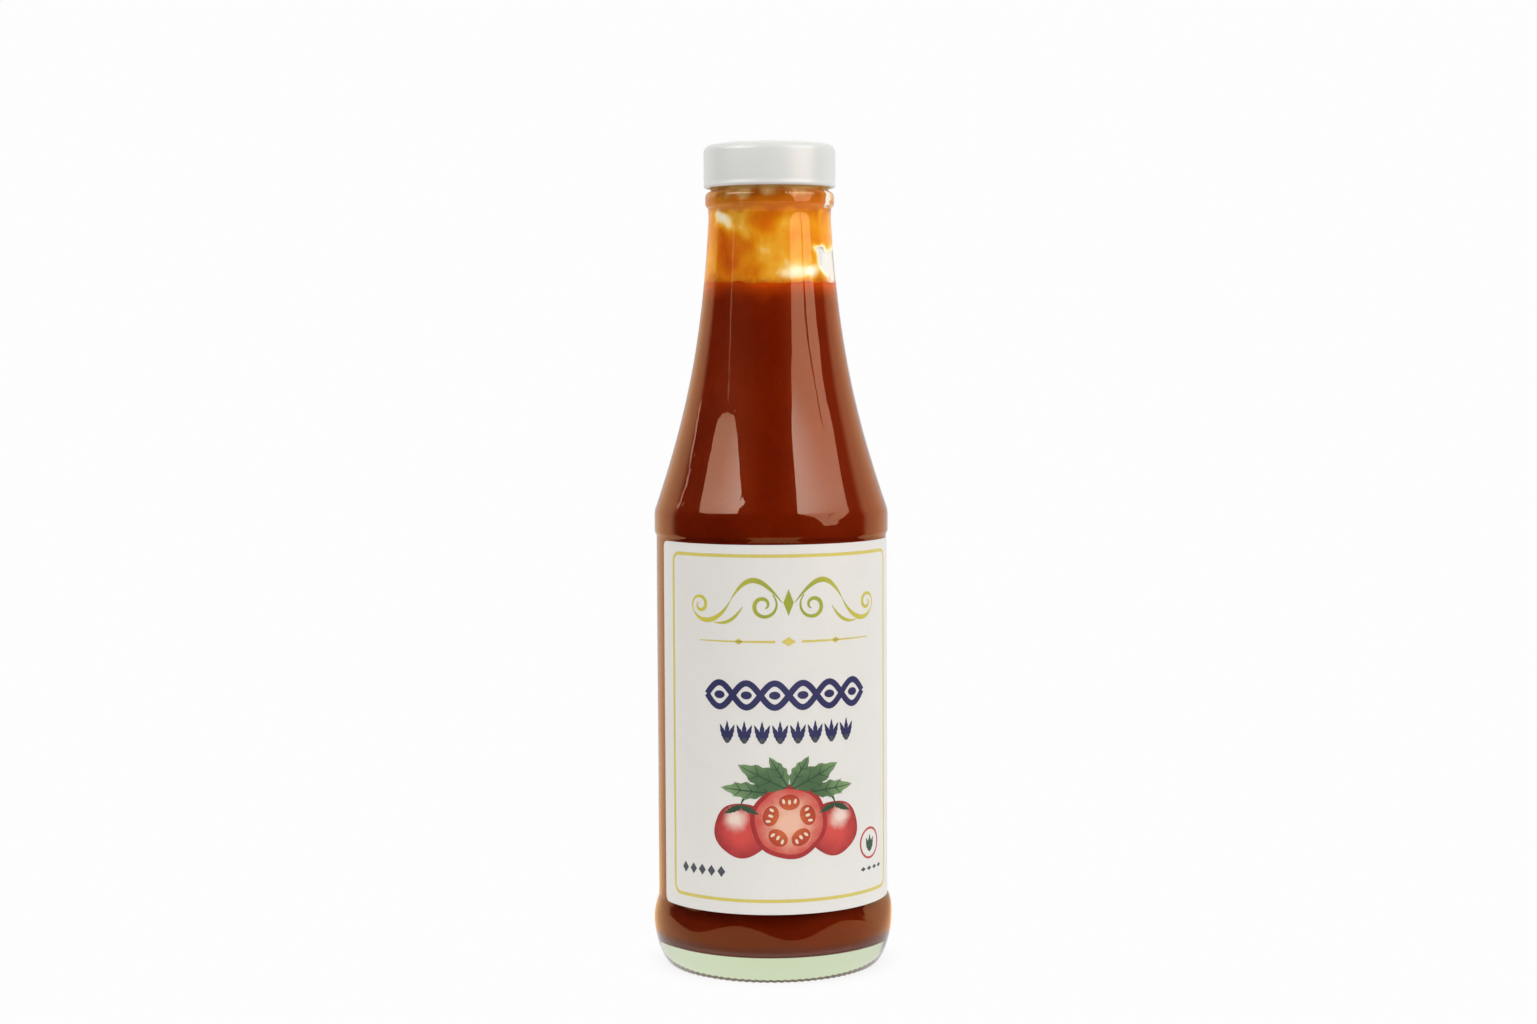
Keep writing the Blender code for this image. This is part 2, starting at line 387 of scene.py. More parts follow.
sauce_sides = cut_at(cavity(-SAUCE_REACH), FILL_HEIGHT)
sauce_rows = sauce_top(sauce_sides[0][0])
top_points = set(sauce_rows + sauce_sides[:1])
sauce = turned_piece("sauce_body", sauce_rows + sauce_sides, SAUCE_STEPS, sauce_shift)
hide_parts("ketchup")
print("sauce faces:", len(sauce.data.polygons))

# %% [markdown]
# ## The film in the neck
#
# When a bottle is filled and handled, sauce runs up its neck and drains back, and leaves a thin
# film through which light shines amber. It is a sheet just inside the wall, from below the level of
# the sauce to the mouth. Its thickness is left to the material, which makes it clear where the film
# has run off.

# %% Make the film
FILM_STEPS = 180
FILM_REACH = 0.06 * MM
FILM_TOP = 199.5 * MM
FILM_LAP = 3.0 * MM


def film_outline():
    """The inner wall from the mouth to just below the level of the sauce."""
    wall = cavity(-FILM_REACH)
    neck = [point for point in wall if point[1] > FILL_HEIGHT - FILM_LAP]
    bore = neck[0][0]
    return [(bore, FILM_TOP)] + straight((bore, FILM_TOP), neck[0], 10) + neck


film = turned_piece("sauce_film", film_outline(), FILM_STEPS)
print("film faces:", len(film.data.polygons))

# %% [markdown]
# ## The cap
#
# A twist-off cap is pressed from thin steel: a slightly sunk panel, a step up round it, a rounded
# edge, a plain side and a curl that hides the cut rim. A turned outline like the solid's makes it,
# with more points on the roundings, because that is where a cap catches the light.

# %% Make the cap
CAP_STEPS = 180
CAP_TOP = 201.9 * MM
CAP_RIM = 191.3 * MM
CAP_RADIUS = 16.2 * MM
CAP_SHEET = 0.4 * MM
CAP_ROUNDING = 2.0 * MM
CAP_PANEL_RADIUS = 12.6 * MM
CAP_PANEL_DROP = 0.25 * MM
CURL_RADIUS = 0.65 * MM
CURL_NECKING = 0.05 * MM


def cap_outline():
    """The pressed sheet from the middle of its top, round the curl, to its middle below."""
    panel_edge = (CAP_PANEL_RADIUS, CAP_TOP - CAP_PANEL_DROP)
    panel_rows = [(0.0, panel_edge[1])] + straight((0.0, panel_edge[1]), panel_edge, 6)
    step = ease(panel_edge, (CAP_PANEL_RADIUS + 2 * CAP_SHEET, CAP_TOP), 8)
    centre = (CAP_RADIUS - CAP_ROUNDING, CAP_TOP - CAP_ROUNDING)
    edge = arc(centre, CAP_ROUNDING, 90, 0, 14)
    neck_height = CAP_RIM + 2.6 * CURL_RADIUS
    side = [(CAP_RADIUS, neck_height + CURL_RADIUS), (CAP_RADIUS - CURL_NECKING, neck_height)]
    curl_centre = (CAP_RADIUS - CURL_RADIUS, CAP_RIM + CURL_RADIUS)
    curl = arc(curl_centre, CURL_RADIUS, 25, -200, 18)
    inner = [(CAP_RADIUS - CAP_SHEET - CURL_NECKING, neck_height)]
    inner_edge = arc(centre, CAP_ROUNDING - CAP_SHEET, 0, 90, 8)
    underside = CAP_TOP - CAP_PANEL_DROP - CAP_SHEET
    return panel_rows + step + edge + side + curl + inner + inner_edge + [
        (CAP_PANEL_RADIUS, underside), (0.0, underside)]


cap = turned_piece("cap_shell", cap_outline(), CAP_STEPS)
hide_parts("cap")
print("cap faces:", len(cap.data.polygons))

# %% [markdown]
# ## The label
#
# The label is a strip of coated paper, glued on in one pass, so it follows the glass closely and
# has rounded corners. Everything on it is laid out flat first, in distances along and up the label,
# and then bent round the bottle. Printing is made as thin flat shapes in the same way. A flat shape
# is cut into narrow columns before it is bent, so that it stays on the curve.

# %% Bending flat shapes round the bottle
PAPER_RADIUS = 28.72 * MM
PAPER_THICKNESS = 0.18 * MM
LABEL_ARC = math.radians(147.0)
LABEL_TOP = 105.7 * MM
LABEL_BOTTOM = 17.2 * MM
LABEL_CORNER = 1.6 * MM
COLUMN_WIDTH = 0.8 * MM
WELD = 0.0002 * MM
LABEL_HALF = 0.5 * LABEL_ARC * PAPER_RADIUS


def rounded_rectangle(left, bottom, right, top, corner, segments=6):
    """The outline of a rectangle with round corners, anticlockwise."""
    points = []
    centres = ((right - corner, top - corner), (left + corner, top - corner),
               (left + corner, bottom + corner), (right - corner, bottom + corner))
    for quarter, centre in enumerate(centres):
        points += arc(centre, corner, 90 * quarter, 90 * (quarter + 1), segments)
    return points


def ellipse(centre, half_width, half_height, segments=40, turn=0.0):
    """The outline of an ellipse, turned by an angle in degrees."""
    spin = Matrix.Rotation(math.radians(turn), 2)
    points = []
    for index in range(segments):
        angle = 2 * math.pi * index / segments
        point = spin @ Vector((half_width * math.cos(angle), half_height * math.sin(angle)))
        points.append((centre[0] + point.x, centre[1] + point.y))
    return points


def columned(outlines):
    """Flat outlines as a mesh whose faces are no wider than a column."""
    flat = bmesh.new()
    for outline in outlines:
        flat.faces.new([flat.verts.new((x, z, 0.0)) for x, z in outline])
    bmesh.ops.remove_doubles(flat, verts=flat.verts[:], dist=WELD)
    low = min(vertex.co.x for vertex in flat.verts)
    high = max(vertex.co.x for vertex in flat.verts)
    for column in range(math.ceil(low / COLUMN_WIDTH), math.floor(high / COLUMN_WIDTH) + 1):
        everything = flat.verts[:] + flat.edges[:] + flat.faces[:]
        bmesh.ops.bisect_plane(
            flat, geom=everything, dist=1e-8, plane_co=(column * COLUMN_WIDTH, 0, 0), plane_no=(1, 0, 0))
    bmesh.ops.triangulate(flat, faces=flat.faces[:])
    return flat


def bent_piece(name, outlines, outer, thickness):
    """Flat outlines as one thin closed piece, bent round the bottle at a radius."""
    flat = columned(outlines)
    bmesh.ops.recalc_face_normals(flat, faces=flat.faces[:])
    for face in flat.faces:
        if face.normal.z < 0:
            face.normal_flip()
    made = bmesh.ops.extrude_face_region(flat, geom=flat.faces[:])
    for vertex in made["geom"]:
        if isinstance(vertex, bmesh.types.BMVert):
            vertex.co.z += thickness
    for vertex in flat.verts:
        angle = vertex.co.x / PAPER_RADIUS
        radius = outer - thickness + vertex.co.z
        vertex.co = (radius * math.sin(angle), -radius * math.cos(angle), vertex.co.y)
    bmesh.ops.recalc_face_normals(flat, faces=flat.faces[:])
    mesh = bpy.data.meshes.new(name)
    flat.to_mesh(mesh)
    flat.free()
    piece = new_object(name, mesh)
    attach(piece, BODY)
    return piece


# %% The paper
paper_outline = rounded_rectangle(-LABEL_HALF, LABEL_BOTTOM, LABEL_HALF, LABEL_TOP, LABEL_CORNER)
paper = bent_piece("label_paper", [paper_outline], PAPER_RADIUS, PAPER_THICKNESS)
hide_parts("label")
print("label width mm:", round(2 * LABEL_HALF / MM, 1), "faces:", len(paper.data.polygons))

# %% [markdown]
# ## The print
#
# The label carries a yellow frame, a flourish over a rule, two bands of ornament, a picture of the
# fruit and small marks in its lower corners. All of it is generic. Each colour is a thin piece of its
# own that reaches into the paper, so no gap shows at a low angle, and later layers lie a little
# further out than earlier ones.

# %% Print helpers
INK_LIFT = 0.02 * MM
INK_DEPTH = 0.10 * MM


def printed(name, outlines, layer):
    """Flat outlines printed on the paper; a higher layer lies over a lower one."""
    piece = bent_piece(name, outlines, PAPER_RADIUS + INK_LIFT * layer, INK_DEPTH)
    return piece


def mirrored(outlines):
    """Outlines and their mirror images about the middle of the label."""
    return outlines + [[(-x, z) for x, z in reversed(outline)] for outline in outlines]


def stroke(points, widths):
    """Quads of a pen stroke along points, with a width at each point."""
    rails = []
    for index, point in enumerate(points):
        before = Vector(points[max(index - 1, 0)])
        after = Vector(points[min(index + 1, len(points) - 1)])
        along = (after - before).normalized()
        across = Vector((-along.y, along.x)) * widths[index] * 0.5
        middle = Vector(point)
        rails.append(((middle + across)[:], (middle - across)[:]))
    return [[a[0], b[0], b[1], a[1]] for a, b in zip(rails, rails[1:])]


def tapered(count, thick, thin):
    """Widths of a stroke that swells in its middle."""
    return [thin + (thick - thin) * math.sin(math.pi * index / (count - 1)) for index in range(count)]


def along_curve(start, handle_a, handle_b, end, thick, thin=0.15 * MM, segments=28):
    """A swelling pen stroke along a cubic curve."""
    points = bezier(start, handle_a, handle_b, end, segments)
    return stroke(points, tapered(len(points), thick, thin))


def spiral(centre, outer, inner, start, turns, thick, segments=44):
    """A pen stroke that winds inward round a centre, from an angle in degrees."""
    points = []
    for index in range(segments + 1):
        t = index / segments
        angle = math.radians(start) + 2 * math.pi * turns * t
        radius = outer + (inner - outer) * t
        points.append((centre[0] + radius * math.cos(angle), centre[1] + radius * math.sin(angle)))
    return stroke(points, tapered(len(points), thick, 0.3 * thick))


def scaled(points):
    """Points given in millimetres, in metres."""
    return [(x * MM, z * MM) for x, z in points]


def lozenge(x, z, half_width, half_height):
    """A diamond about a point, in millimetres."""
    return scaled([(x + half_width, z), (x, z + half_height), (x - half_width, z), (x, z - half_height)])


def leaf(base, tip, width, segments=20):
    """A pointed leaf with a wavy edge between its base and its tip, in millimetres."""
    start, end = Vector(base), Vector(tip)
    along = end - start
    across = Vector((-along.y, along.x)).normalized() * width
    one_side = []
    for index in range(segments + 1):
        t = index / segments
        swell = math.sin(math.pi * t ** 0.8) * (1.0 + 0.12 * math.cos(9 * math.pi * t))
        one_side.append((start + along * t, across * 0.5 * max(swell, 0.0)))
    upper = [(middle + side)[:] for middle, side in one_side]
    lower = [(middle - side)[:] for middle, side in reversed(one_side[1:-1])]
    return scaled(upper + lower)


# %% [markdown]
# ### The frame
#
# A printed line runs round the label a little way in from its edge. A curve with a bevel would give a
# round line, and print is flat, so the line is the strip between a larger and a smaller outline.

# %% The yellow frame
FRAME_HALF = 31.8 * MM
FRAME_TOP = 103.1 * MM
FRAME_BOTTOM = 20.5 * MM
FRAME_LINE = 0.8 * MM
FRAME_CORNER = 2.2 * MM


def between(outer, inner):
    """Quads that fill the strip between two outlines with as many points each."""
    count = len(outer)
    return [[outer[i], outer[(i + 1) % count], inner[(i + 1) % count], inner[i]] for i in range(count)]


def frame_quads():
    """The frame's line as quads between a larger and a smaller rounded rectangle."""
    half = 0.5 * FRAME_LINE
    large = rounded_rectangle(-FRAME_HALF - half, FRAME_BOTTOM - half, FRAME_HALF + half,
                              FRAME_TOP + half, FRAME_CORNER + half, 8)
    small = rounded_rectangle(-FRAME_HALF + half, FRAME_BOTTOM + half, FRAME_HALF - half,
                              FRAME_TOP - half, FRAME_CORNER - half, 8)
    return between(large, small)


label_frame = printed("print_frame", frame_quads(), 1)

# %% [markdown]
# ### The flourish and its rule
#
# A pen presses hardest in the middle of a stroke. So each stroke follows a cubic curve or a spiral,
# and its width swells and thins again on the way. Only one half is drawn: the other mirrors it.

# %% The flourish over its rule
FLOURISH_MIDDLE = 92.0
RULE_HEIGHT = 82.7


def swash(points, thick):
    """A swelling pen stroke along a cubic curve whose four points are in millimetres."""
    return along_curve(*scaled(points), thick * MM)


def flourish():
    """Half of a penman's flourish: an S curve, two scrolls and a short tail."""
    strokes = swash([(1.5, 92.0), (7.0, 99.0), (10.0, 99.0), (14.0, 92.5)], 1.25)
    strokes += swash([(14.0, 92.5), (17.0, 87.0), (22.0, 86.0), (24.6, 90.0)], 1.15)
    strokes += swash([(11.0, 91.0), (13.0, 88.0), (15.0, 86.5), (18.5, 87.2)], 0.8)
    strokes += spiral((22.3 * MM, 91.2 * MM), 2.5 * MM, 0.7 * MM, -30, 1.2, 0.85 * MM)
    strokes += spiral((6.0 * MM, 91.3 * MM), 3.4 * MM, 0.8 * MM, 130, 1.3, 0.95 * MM)
    return strokes


def rule():
    """Half of a thin rule that widens outward, with a small lozenge on it."""
    line = scaled([(3.2, RULE_HEIGHT - 0.3), (22.4, RULE_HEIGHT - 0.12),
                   (22.4, RULE_HEIGHT + 0.12), (3.2, RULE_HEIGHT + 0.3)])
    return [line, lozenge(12.0, RULE_HEIGHT, 1.2, 0.8)]


flourish_piece = printed(
    "print_flourish", mirrored(flourish()) + [lozenge(0, FLOURISH_MIDDLE, 1.25, 3.2)], 1)
rule_piece = printed("print_rule", mirrored(rule()) + [lozenge(0, RULE_HEIGHT, 1.8, 1.1)], 1)

# %% [markdown]
# ### Two bands of ornament
#
# One band is a braid with a bead in each eye, and the other is a row of leaf tufts. Each repeats one
# motif at an even pitch, so a formula or a loop places it. The braid's second strand is the first
# one's mirror image, a layer higher, so that one strand lies over the other.

# %% Two bands of ornament
BRAID_HEIGHT = 69.9
BRAID_HALF_WIDTH = 20.4
BRAID_SWING = 2.9
BRAID_EYES = 6
BRAID_STROKE = 1.5 * MM
LEAF_BAND_HEIGHT = 61.2
LEAF_TUFTS = 8
LEAF_PITCH = 4.3


def braid_strand(side):
    """One strand of a two-strand braid: a wave whose mirror image is the other strand."""
    count = 12 * BRAID_EYES
    points = []
    for index in range(count + 1):
        along = index / count
        height = side * BRAID_SWING * math.sin(math.pi * BRAID_EYES * along)
        points.append((BRAID_HALF_WIDTH * (2 * along - 1), BRAID_HEIGHT + height))
    return stroke(scaled(points), [BRAID_STROKE] * (count + 1))


def braid_eyes():
    """A bead in each eye of the braid and one at either end."""
    pitch = 2 * BRAID_HALF_WIDTH / BRAID_EYES
    beads = []
    for index in range(BRAID_EYES):
        centre = ((pitch * (index + 0.5) - BRAID_HALF_WIDTH) * MM, BRAID_HEIGHT * MM)
        beads.append(ellipse(centre, 1.35 * MM, 0.95 * MM, 24))
    return beads


def leaf_tuft(foot, spread, rise, width):
    """Three short leaves that open upward from one point, the middle one taller."""
    sides = [leaf(foot, (foot[0] + spread * side, foot[1] + rise), width) for side in (-1, 1)]
    return sides + [leaf(foot, (foot[0], foot[1] + 1.2 * rise), width)]


band_piece = printed("print_braid", braid_strand(1), 1)
second_strand = printed("print_braid_back", braid_strand(-1) + braid_eyes(), 2)
leaf_places = [LEAF_PITCH * (index - 0.5 * (LEAF_TUFTS - 1)) for index in range(LEAF_TUFTS)]
leaf_band = [outline for place in leaf_places
             for outline in leaf_tuft((place, LEAF_BAND_HEIGHT - 2.9), 1.9, 4.6, 1.3)]
leaf_dots = [ellipse((place * MM, (LEAF_BAND_HEIGHT - 2.2) * MM), 0.7 * MM, 0.7 * MM, 16)
             for place in leaf_places]
leaf_band_piece = printed("print_leaf_band", leaf_band, 1)
leaf_dot_piece = printed("print_leaf_dots", leaf_dots, 2)

# %% [markdown]
# ### The fruit
#
# The picture shows a fruit cut across, with a whole one at either side. Layers build it as paint
# would: the whole fruit first, then the skin of the cut one, then its flesh. A true circle looks
# mechanical, so each outline has shallow lobes.

# %% The fruit
FRUIT_CENTRE = (0.0, 39.6)
SIDE_FRUIT = (11.6, 37.4)
SIDE_FRUIT_SIZE = (7.0, 6.6)


def fruit_outline(centre, half_width, half_height, lobes, depth, segments=72):
    """A round fruit with shallow lobes, in millimetres."""
    points = []
    for index in range(segments):
        angle = 2 * math.pi * index / segments
        swell = 1.0 + depth * math.cos(lobes * angle + math.pi / 2)
        points.append((centre[0] + half_width * swell * math.cos(angle),
                       centre[1] + half_height * swell * math.sin(angle)))
    return scaled(points)


side_outline = fruit_outline(SIDE_FRUIT, *SIDE_FRUIT_SIZE, 5, 0.02)
whole_fruit = printed("print_fruit_sides", mirrored([side_outline]), 1)
middle_fruit = printed("print_fruit_middle", [fruit_outline(FRUIT_CENTRE, 9.4, 9.0, 6, 0.015)], 2)
flesh_ring = printed("print_fruit_flesh", [fruit_outline(FRUIT_CENTRE, 8.3, 7.9, 6, 0.015)], 3)

# %% [markdown]
# A fruit that is cut across shows its seed chambers as a ring. They are placed by turning about the
# middle, so their number is one value, and each holds three seeds.

# %% The seed chambers
CHAMBERS = 5
CHAMBER_REACH = 4.7
SEED_TURN = 16.0
SEED_RISE = 0.4


def on_fruit(angle, reach):
    """The point of the cut face at an angle in degrees and a distance in millimetres, in metres."""
    turn = math.radians(angle)
    return ((FRUIT_CENTRE[0] + reach * math.cos(turn)) * MM, (FRUIT_CENTRE[1] + reach * math.sin(turn)) * MM)


def chamber_angle(index):
    """The direction of one chamber, with the first one straight up."""
    return 90.0 + 360.0 * index / CHAMBERS


chamber_outlines = []
seed_outlines = []
for index in range(CHAMBERS):
    angle = chamber_angle(index)
    chamber_outlines.append(ellipse(on_fruit(angle, CHAMBER_REACH), 2.5 * MM, 1.9 * MM, 28, angle + 90))
    for side in (-1, 0, 1):
        seed_angle = angle + SEED_TURN * side
        middle = on_fruit(seed_angle, CHAMBER_REACH + SEED_RISE * abs(side))
        seed_outlines.append(ellipse(middle, 0.62 * MM, 0.34 * MM, 14, seed_angle))
chambers = printed("print_fruit_chambers", chamber_outlines, 4)
seed_piece = printed("print_fruit_seeds", seed_outlines, 5)

# %% [markdown]
# Each leaf is a pointed outline with a wavy edge, and its veins are strokes of a darker ink a layer
# higher. A texture could draw the veins too, but strokes stay sharp close up.

# %% Leaves, stalks and veins
def vein(base, tip, thick):
    """The middle vein of a leaf with two short side veins on either side."""
    start, end = Vector(base), Vector(tip)
    along = end - start
    across = Vector((-along.y, along.x)) * 0.16
    strokes = stroke(scaled([start[:], (start + 0.5 * along)[:], (start + 0.92 * along)[:]]),
                     [thick * MM, 0.8 * thick * MM, 0.3 * thick * MM])
    for share in (0.3, 0.55):
        for side in (-1, 1):
            foot = start + share * along
            strokes += stroke(scaled([foot[:], (foot + 0.16 * along + side * across)[:]]),
                              [0.7 * thick * MM, 0.2 * thick * MM])
    return strokes


LEAVES = (((1.0, 47.6), (12.4, 53.2), 5.2), ((0.4, 48.0), (4.8, 55.2), 3.8), ((5.4, 46.6), (16.8, 47.6), 3.9))
leaf_outlines = mirrored([leaf(*size) for size in LEAVES])
vein_outlines = mirrored([quad for base, tip, width in LEAVES for quad in vein(base, tip, 0.42)])
calyx_top = (SIDE_FRUIT[0], SIDE_FRUIT[1] + 0.9 * SIDE_FRUIT_SIZE[1])
calyx = mirrored([leaf(calyx_top, (calyx_top[0] + 4.4 * reach, calyx_top[1] - 0.4 - 1.6 * abs(reach)), 1.4)
                  for reach in (-1.0, -0.45, 0.45, 1.0)])
stalks = mirrored(swash([calyx_top, (calyx_top[0], 46.6), (6.0, 47.2), (0.0, 48.2)], 0.9))
leaf_piece = printed("print_leaves", leaf_outlines, 3)
calyx_piece = printed("print_calyx", calyx, 3)
stalk_piece = printed("print_stalks", stalks, 2)
vein_piece = printed("print_veins", vein_outlines, 4)

# %% [markdown]
# A ring with a leaf tuft and two rows of lozenges stand in the lower corners. They aren't mirrored:
# the ring is on the right only, and the rows differ in number and in size.

# %% Small marks in the lower corners
SEAL_CENTRE = (23.5, 32.2)
SEAL_RADIUS = 3.9 * MM
SEAL_LINE = 0.55 * MM


def ring_quads(centre, radius, line, segments=48):
    """A thin ring as quads."""
    inner = radius - line
    return between(ellipse(centre, radius, radius, segments), ellipse(centre, inner, inner, segments))


seal_ring = printed("print_seal_ring", ring_quads(scaled([SEAL_CENTRE])[0], SEAL_RADIUS, SEAL_LINE), 1)
seal_foot = (SEAL_CENTRE[0], SEAL_CENTRE[1] - 2.2)
seal_middle = printed("print_seal_leaves", leaf_tuft(seal_foot, 1.5, 3.6, 1.3), 1)
dash_outlines = [lozenge(-27.6 + 2.7 * place, 27.2, 1.05, 1.35) for place in range(5)]
dash_outlines += [lozenge(20.9 + 2.4 * place, 26.0, 0.95, 0.55) for place in range(4)]
dash_piece = printed("print_dashes", dash_outlines, 1)

# %% [markdown]
# ## Shader groups
#
# Some effects belong to more than one finish: the fibres of the paper show through every ink, the
# sauce's pulp shows in the body and in the film, and both glass and enamel carry the marks of being
# handled. Each is a node group with its own inputs, placed in each material with its own values.


# %% Building groups
def new_group(name, inputs, outputs):
    """An empty node group with named sockets, its input node and its output node."""
    group = bpy.data.node_groups.new(name, "ShaderNodeTree")
    kinds = {"colour": "NodeSocketColor", "value": "NodeSocketFloat", "vector": "NodeSocketVector"}
    for label, kind, default in inputs:
        socket = group.interface.new_socket(label, in_out="INPUT", socket_type=kinds[kind])
        socket.default_value = default
    for label, kind in outputs:
        group.interface.new_socket(label, in_out="OUTPUT", socket_type=kinds[kind])
    return group, group.nodes.new("NodeGroupInput"), group.nodes.new("NodeGroupOutput")


def feed(tree, socket, source):
    """Link a socket to an input, or set a plain value on it."""
    if isinstance(source, bpy.types.NodeSocket):
        tree.links.new(source, socket)
    else:
        socket.default_value = source


def ramp(tree, source, low, high, to_low=0.0, to_high=1.0):
    """A smooth map of a value from one range to another."""
    made = tree.nodes.new("ShaderNodeMapRange")
    made.interpolation_type = "SMOOTHSTEP"
    for label, value in (("From Min", low), ("From Max", high), ("To Min", to_low), ("To Max", to_high)):
        made.inputs[label].default_value = value
    tree.links.new(source, made.inputs["Value"])
    return made.outputs["Result"]


def blend(tree, share, first, second):
    """A colour mix; each of its three inputs is a socket or a plain value."""
    made = tree.nodes.new("ShaderNodeMix")
    made.data_type = "RGBA"
    for socket, source in ((made.inputs[0], share), (made.inputs[6], first), (made.inputs[7], second)):
        feed(tree, socket, source)
    return made.outputs[2]


def arithmetic(tree, operation, first, second=0.0):
    """A sum, product or other operation on two values or sockets."""
    made = tree.nodes.new("ShaderNodeMath")
    made.operation = operation
    feed(tree, made.inputs[0], first)
    feed(tree, made.inputs[1], second)
    return made.outputs[0]


def vector_math(tree, operation, first, second=(0.0, 0.0, 0.0), scale=1.0):
    """A vector operation; a length, a distance or a dot product comes out as a value."""
    made = tree.nodes.new("ShaderNodeVectorMath")
    made.operation = operation
    feed(tree, made.inputs[0], first)
    if operation == "SCALE":
        feed(tree, made.inputs["Scale"], scale)
    else:
        feed(tree, made.inputs[1], second)
    return made.outputs["Value" if operation in ("LENGTH", "DISTANCE", "DOT_PRODUCT") else "Vector"]


def noise_node(tree, place, scale, detail=3.0, roughness=0.55, stretch=(1.0, 1.0, 1.0)):
    """Noise in the bottle's own coordinates, with features one over scale metres wide."""
    mapping = tree.nodes.new("ShaderNodeMapping")
    mapping.inputs["Scale"].default_value = stretch
    tree.links.new(place, mapping.inputs["Vector"])
    made = tree.nodes.new("ShaderNodeTexNoise")
    made.inputs["Scale"].default_value = scale
    made.inputs["Detail"].default_value = detail
    made.inputs["Roughness"].default_value = roughness
    tree.links.new(mapping.outputs["Vector"], made.inputs["Vector"])
    return made


def texture(tree, place, *settings):
    """The value of a noise."""
    return noise_node(tree, place, *settings).outputs["Fac"]


def weighted(tree, first, share, second):
    """A value and another one added in shares that make one."""
    one = arithmetic(tree, "MULTIPLY", first, share)
    return arithmetic(tree, "ADD", one, arithmetic(tree, "MULTIPLY", second, 1.0 - share))


def own_place(tree):
    """Coordinates fixed to the bottle."""
    return tree.nodes.new("ShaderNodeTexCoord").outputs["Object"]


# %% [markdown]
# Paper is a felt of fibres: its tone is mottled, its surface has a fine tooth, and glued paper
# cockles in shallow upright ripples. Noise at four sizes gives all of it. One group serves the paper
# and every ink, because print takes on the surface of its paper.

# %% Paper fibres
def paper_grain_group():
    """Fibres, a faint mottle and the slight cockling of glued paper, for the paper and its inks."""
    group, given, result = new_group(
        "Paper grain",
        [("Colour", "colour", (0.7, 0.68, 0.62, 1)), ("Mottle", "value", 0.05), ("Roughness", "value", 0.5)],
        [("Colour", "colour"), ("Roughness", "value"), ("Height", "value"), ("Cockle", "value")])
    place = own_place(group)
    fibres = texture(group, place, 2600.0, 2.0, 0.6, (1.0, 1.0, 0.35))
    mottle = texture(group, place, 160.0, 3.0)
    tooth = texture(group, place, 7000.0, 1.0)
    cockle = texture(group, place, 190.0, 1.0, 0.5, (1.0, 1.0, 0.12))
    centred = arithmetic(group, "SUBTRACT", weighted(group, fibres, 0.5, mottle), 0.5)
    change = arithmetic(group, "MULTIPLY", centred, given.outputs["Mottle"])
    gain = arithmetic(group, "ADD", change, 1.0)
    toned = vector_math(group, "SCALE", given.outputs["Colour"], scale=gain)
    group.links.new(toned, result.inputs["Colour"])
    rough = arithmetic(group, "MULTIPLY", centred, 0.25)
    group.links.new(arithmetic(group, "ADD", given.outputs["Roughness"], rough), result.inputs["Roughness"])
    group.links.new(weighted(group, fibres, 0.7, tooth), result.inputs["Height"])
    group.links.new(cockle, result.inputs["Cockle"])
    return group


paper_grain = paper_grain_group()


# %% [markdown]
# Glass and enamel are hard and glossy, so what shows on them is grease and fine scratches. Both are
# noise cut off at a threshold: soft patches, and thin lines where the noise is stretched upright. A
# third noise gives the faint ripple that such a surface has when it is new.

# %% Marks of handling
def handling_group():
    """Smudges and hairline scratches on a hard, glossy surface."""
    group, given, result = new_group(
        "Handling marks",
        [("Roughness", "value", 0.2), ("Smudges", "value", 0.1), ("Scratches", "value", 0.1)],
        [("Roughness", "value"), ("Height", "value"), ("Marks", "value")])
    place = own_place(group)
    smudges = ramp(group, texture(group, place, 90.0, 4.0), 0.48, 0.72)
    hairlines = ramp(group, texture(group, place, 700.0, 2.0, 0.5, (1.0, 1.0, 0.06)), 0.64, 0.72)
    ripple = texture(group, place, 150.0, 1.0)
    smudged = arithmetic(group, "MULTIPLY", smudges, given.outputs["Smudges"])
    scratched = arithmetic(group, "MULTIPLY", hairlines, given.outputs["Scratches"])
    marks = arithmetic(group, "ADD", smudged, scratched)
    group.links.new(arithmetic(group, "ADD", given.outputs["Roughness"], marks), result.inputs["Roughness"])
    group.links.new(arithmetic(group, "SUBTRACT", ripple, scratched), result.inputs["Height"])
    group.links.new(marks, result.inputs["Marks"])
    return group


handling = handling_group()


# %% [markdown]
# Sauce is pulp in a thin liquid: cloudy from afar, grainy close up, with a few pale specks. The body
# and the film need the same pulp in other colours, so the colours are the group's inputs.

# %% Pulp of the sauce
PULP_SPECK = (0.50, 0.12, 0.02, 1.0)


def pulp_group():
    """Cloudy tone, coarse pulp and a few pale specks, for the body of the sauce and its film."""
    group, given, result = new_group(
        "Sauce pulp",
        [("Deep", "colour", (0.1, 0.01, 0.001, 1)), ("Light", "colour", (0.3, 0.05, 0.01, 1)),
         ("Specks", "value", 0.3)],
        [("Colour", "colour"), ("Height", "value")])
    place = own_place(group)
    clouds = texture(group, place, 55.0, 4.0, 0.6)
    pulp = texture(group, place, 620.0, 3.0, 0.6)
    specks = ramp(group, texture(group, place, 1500.0, 1.0), 0.72, 0.76)
    tone = ramp(group, weighted(group, clouds, 0.7, pulp), 0.34, 0.66)
    body = blend(group, tone, given.outputs["Deep"], given.outputs["Light"])
    speck_share = arithmetic(group, "MULTIPLY", specks, given.outputs["Specks"])
    group.links.new(blend(group, speck_share, body, PULP_SPECK), result.inputs["Colour"])
    group.links.new(pulp, result.inputs["Height"])
    return group


sauce_pulp = pulp_group()


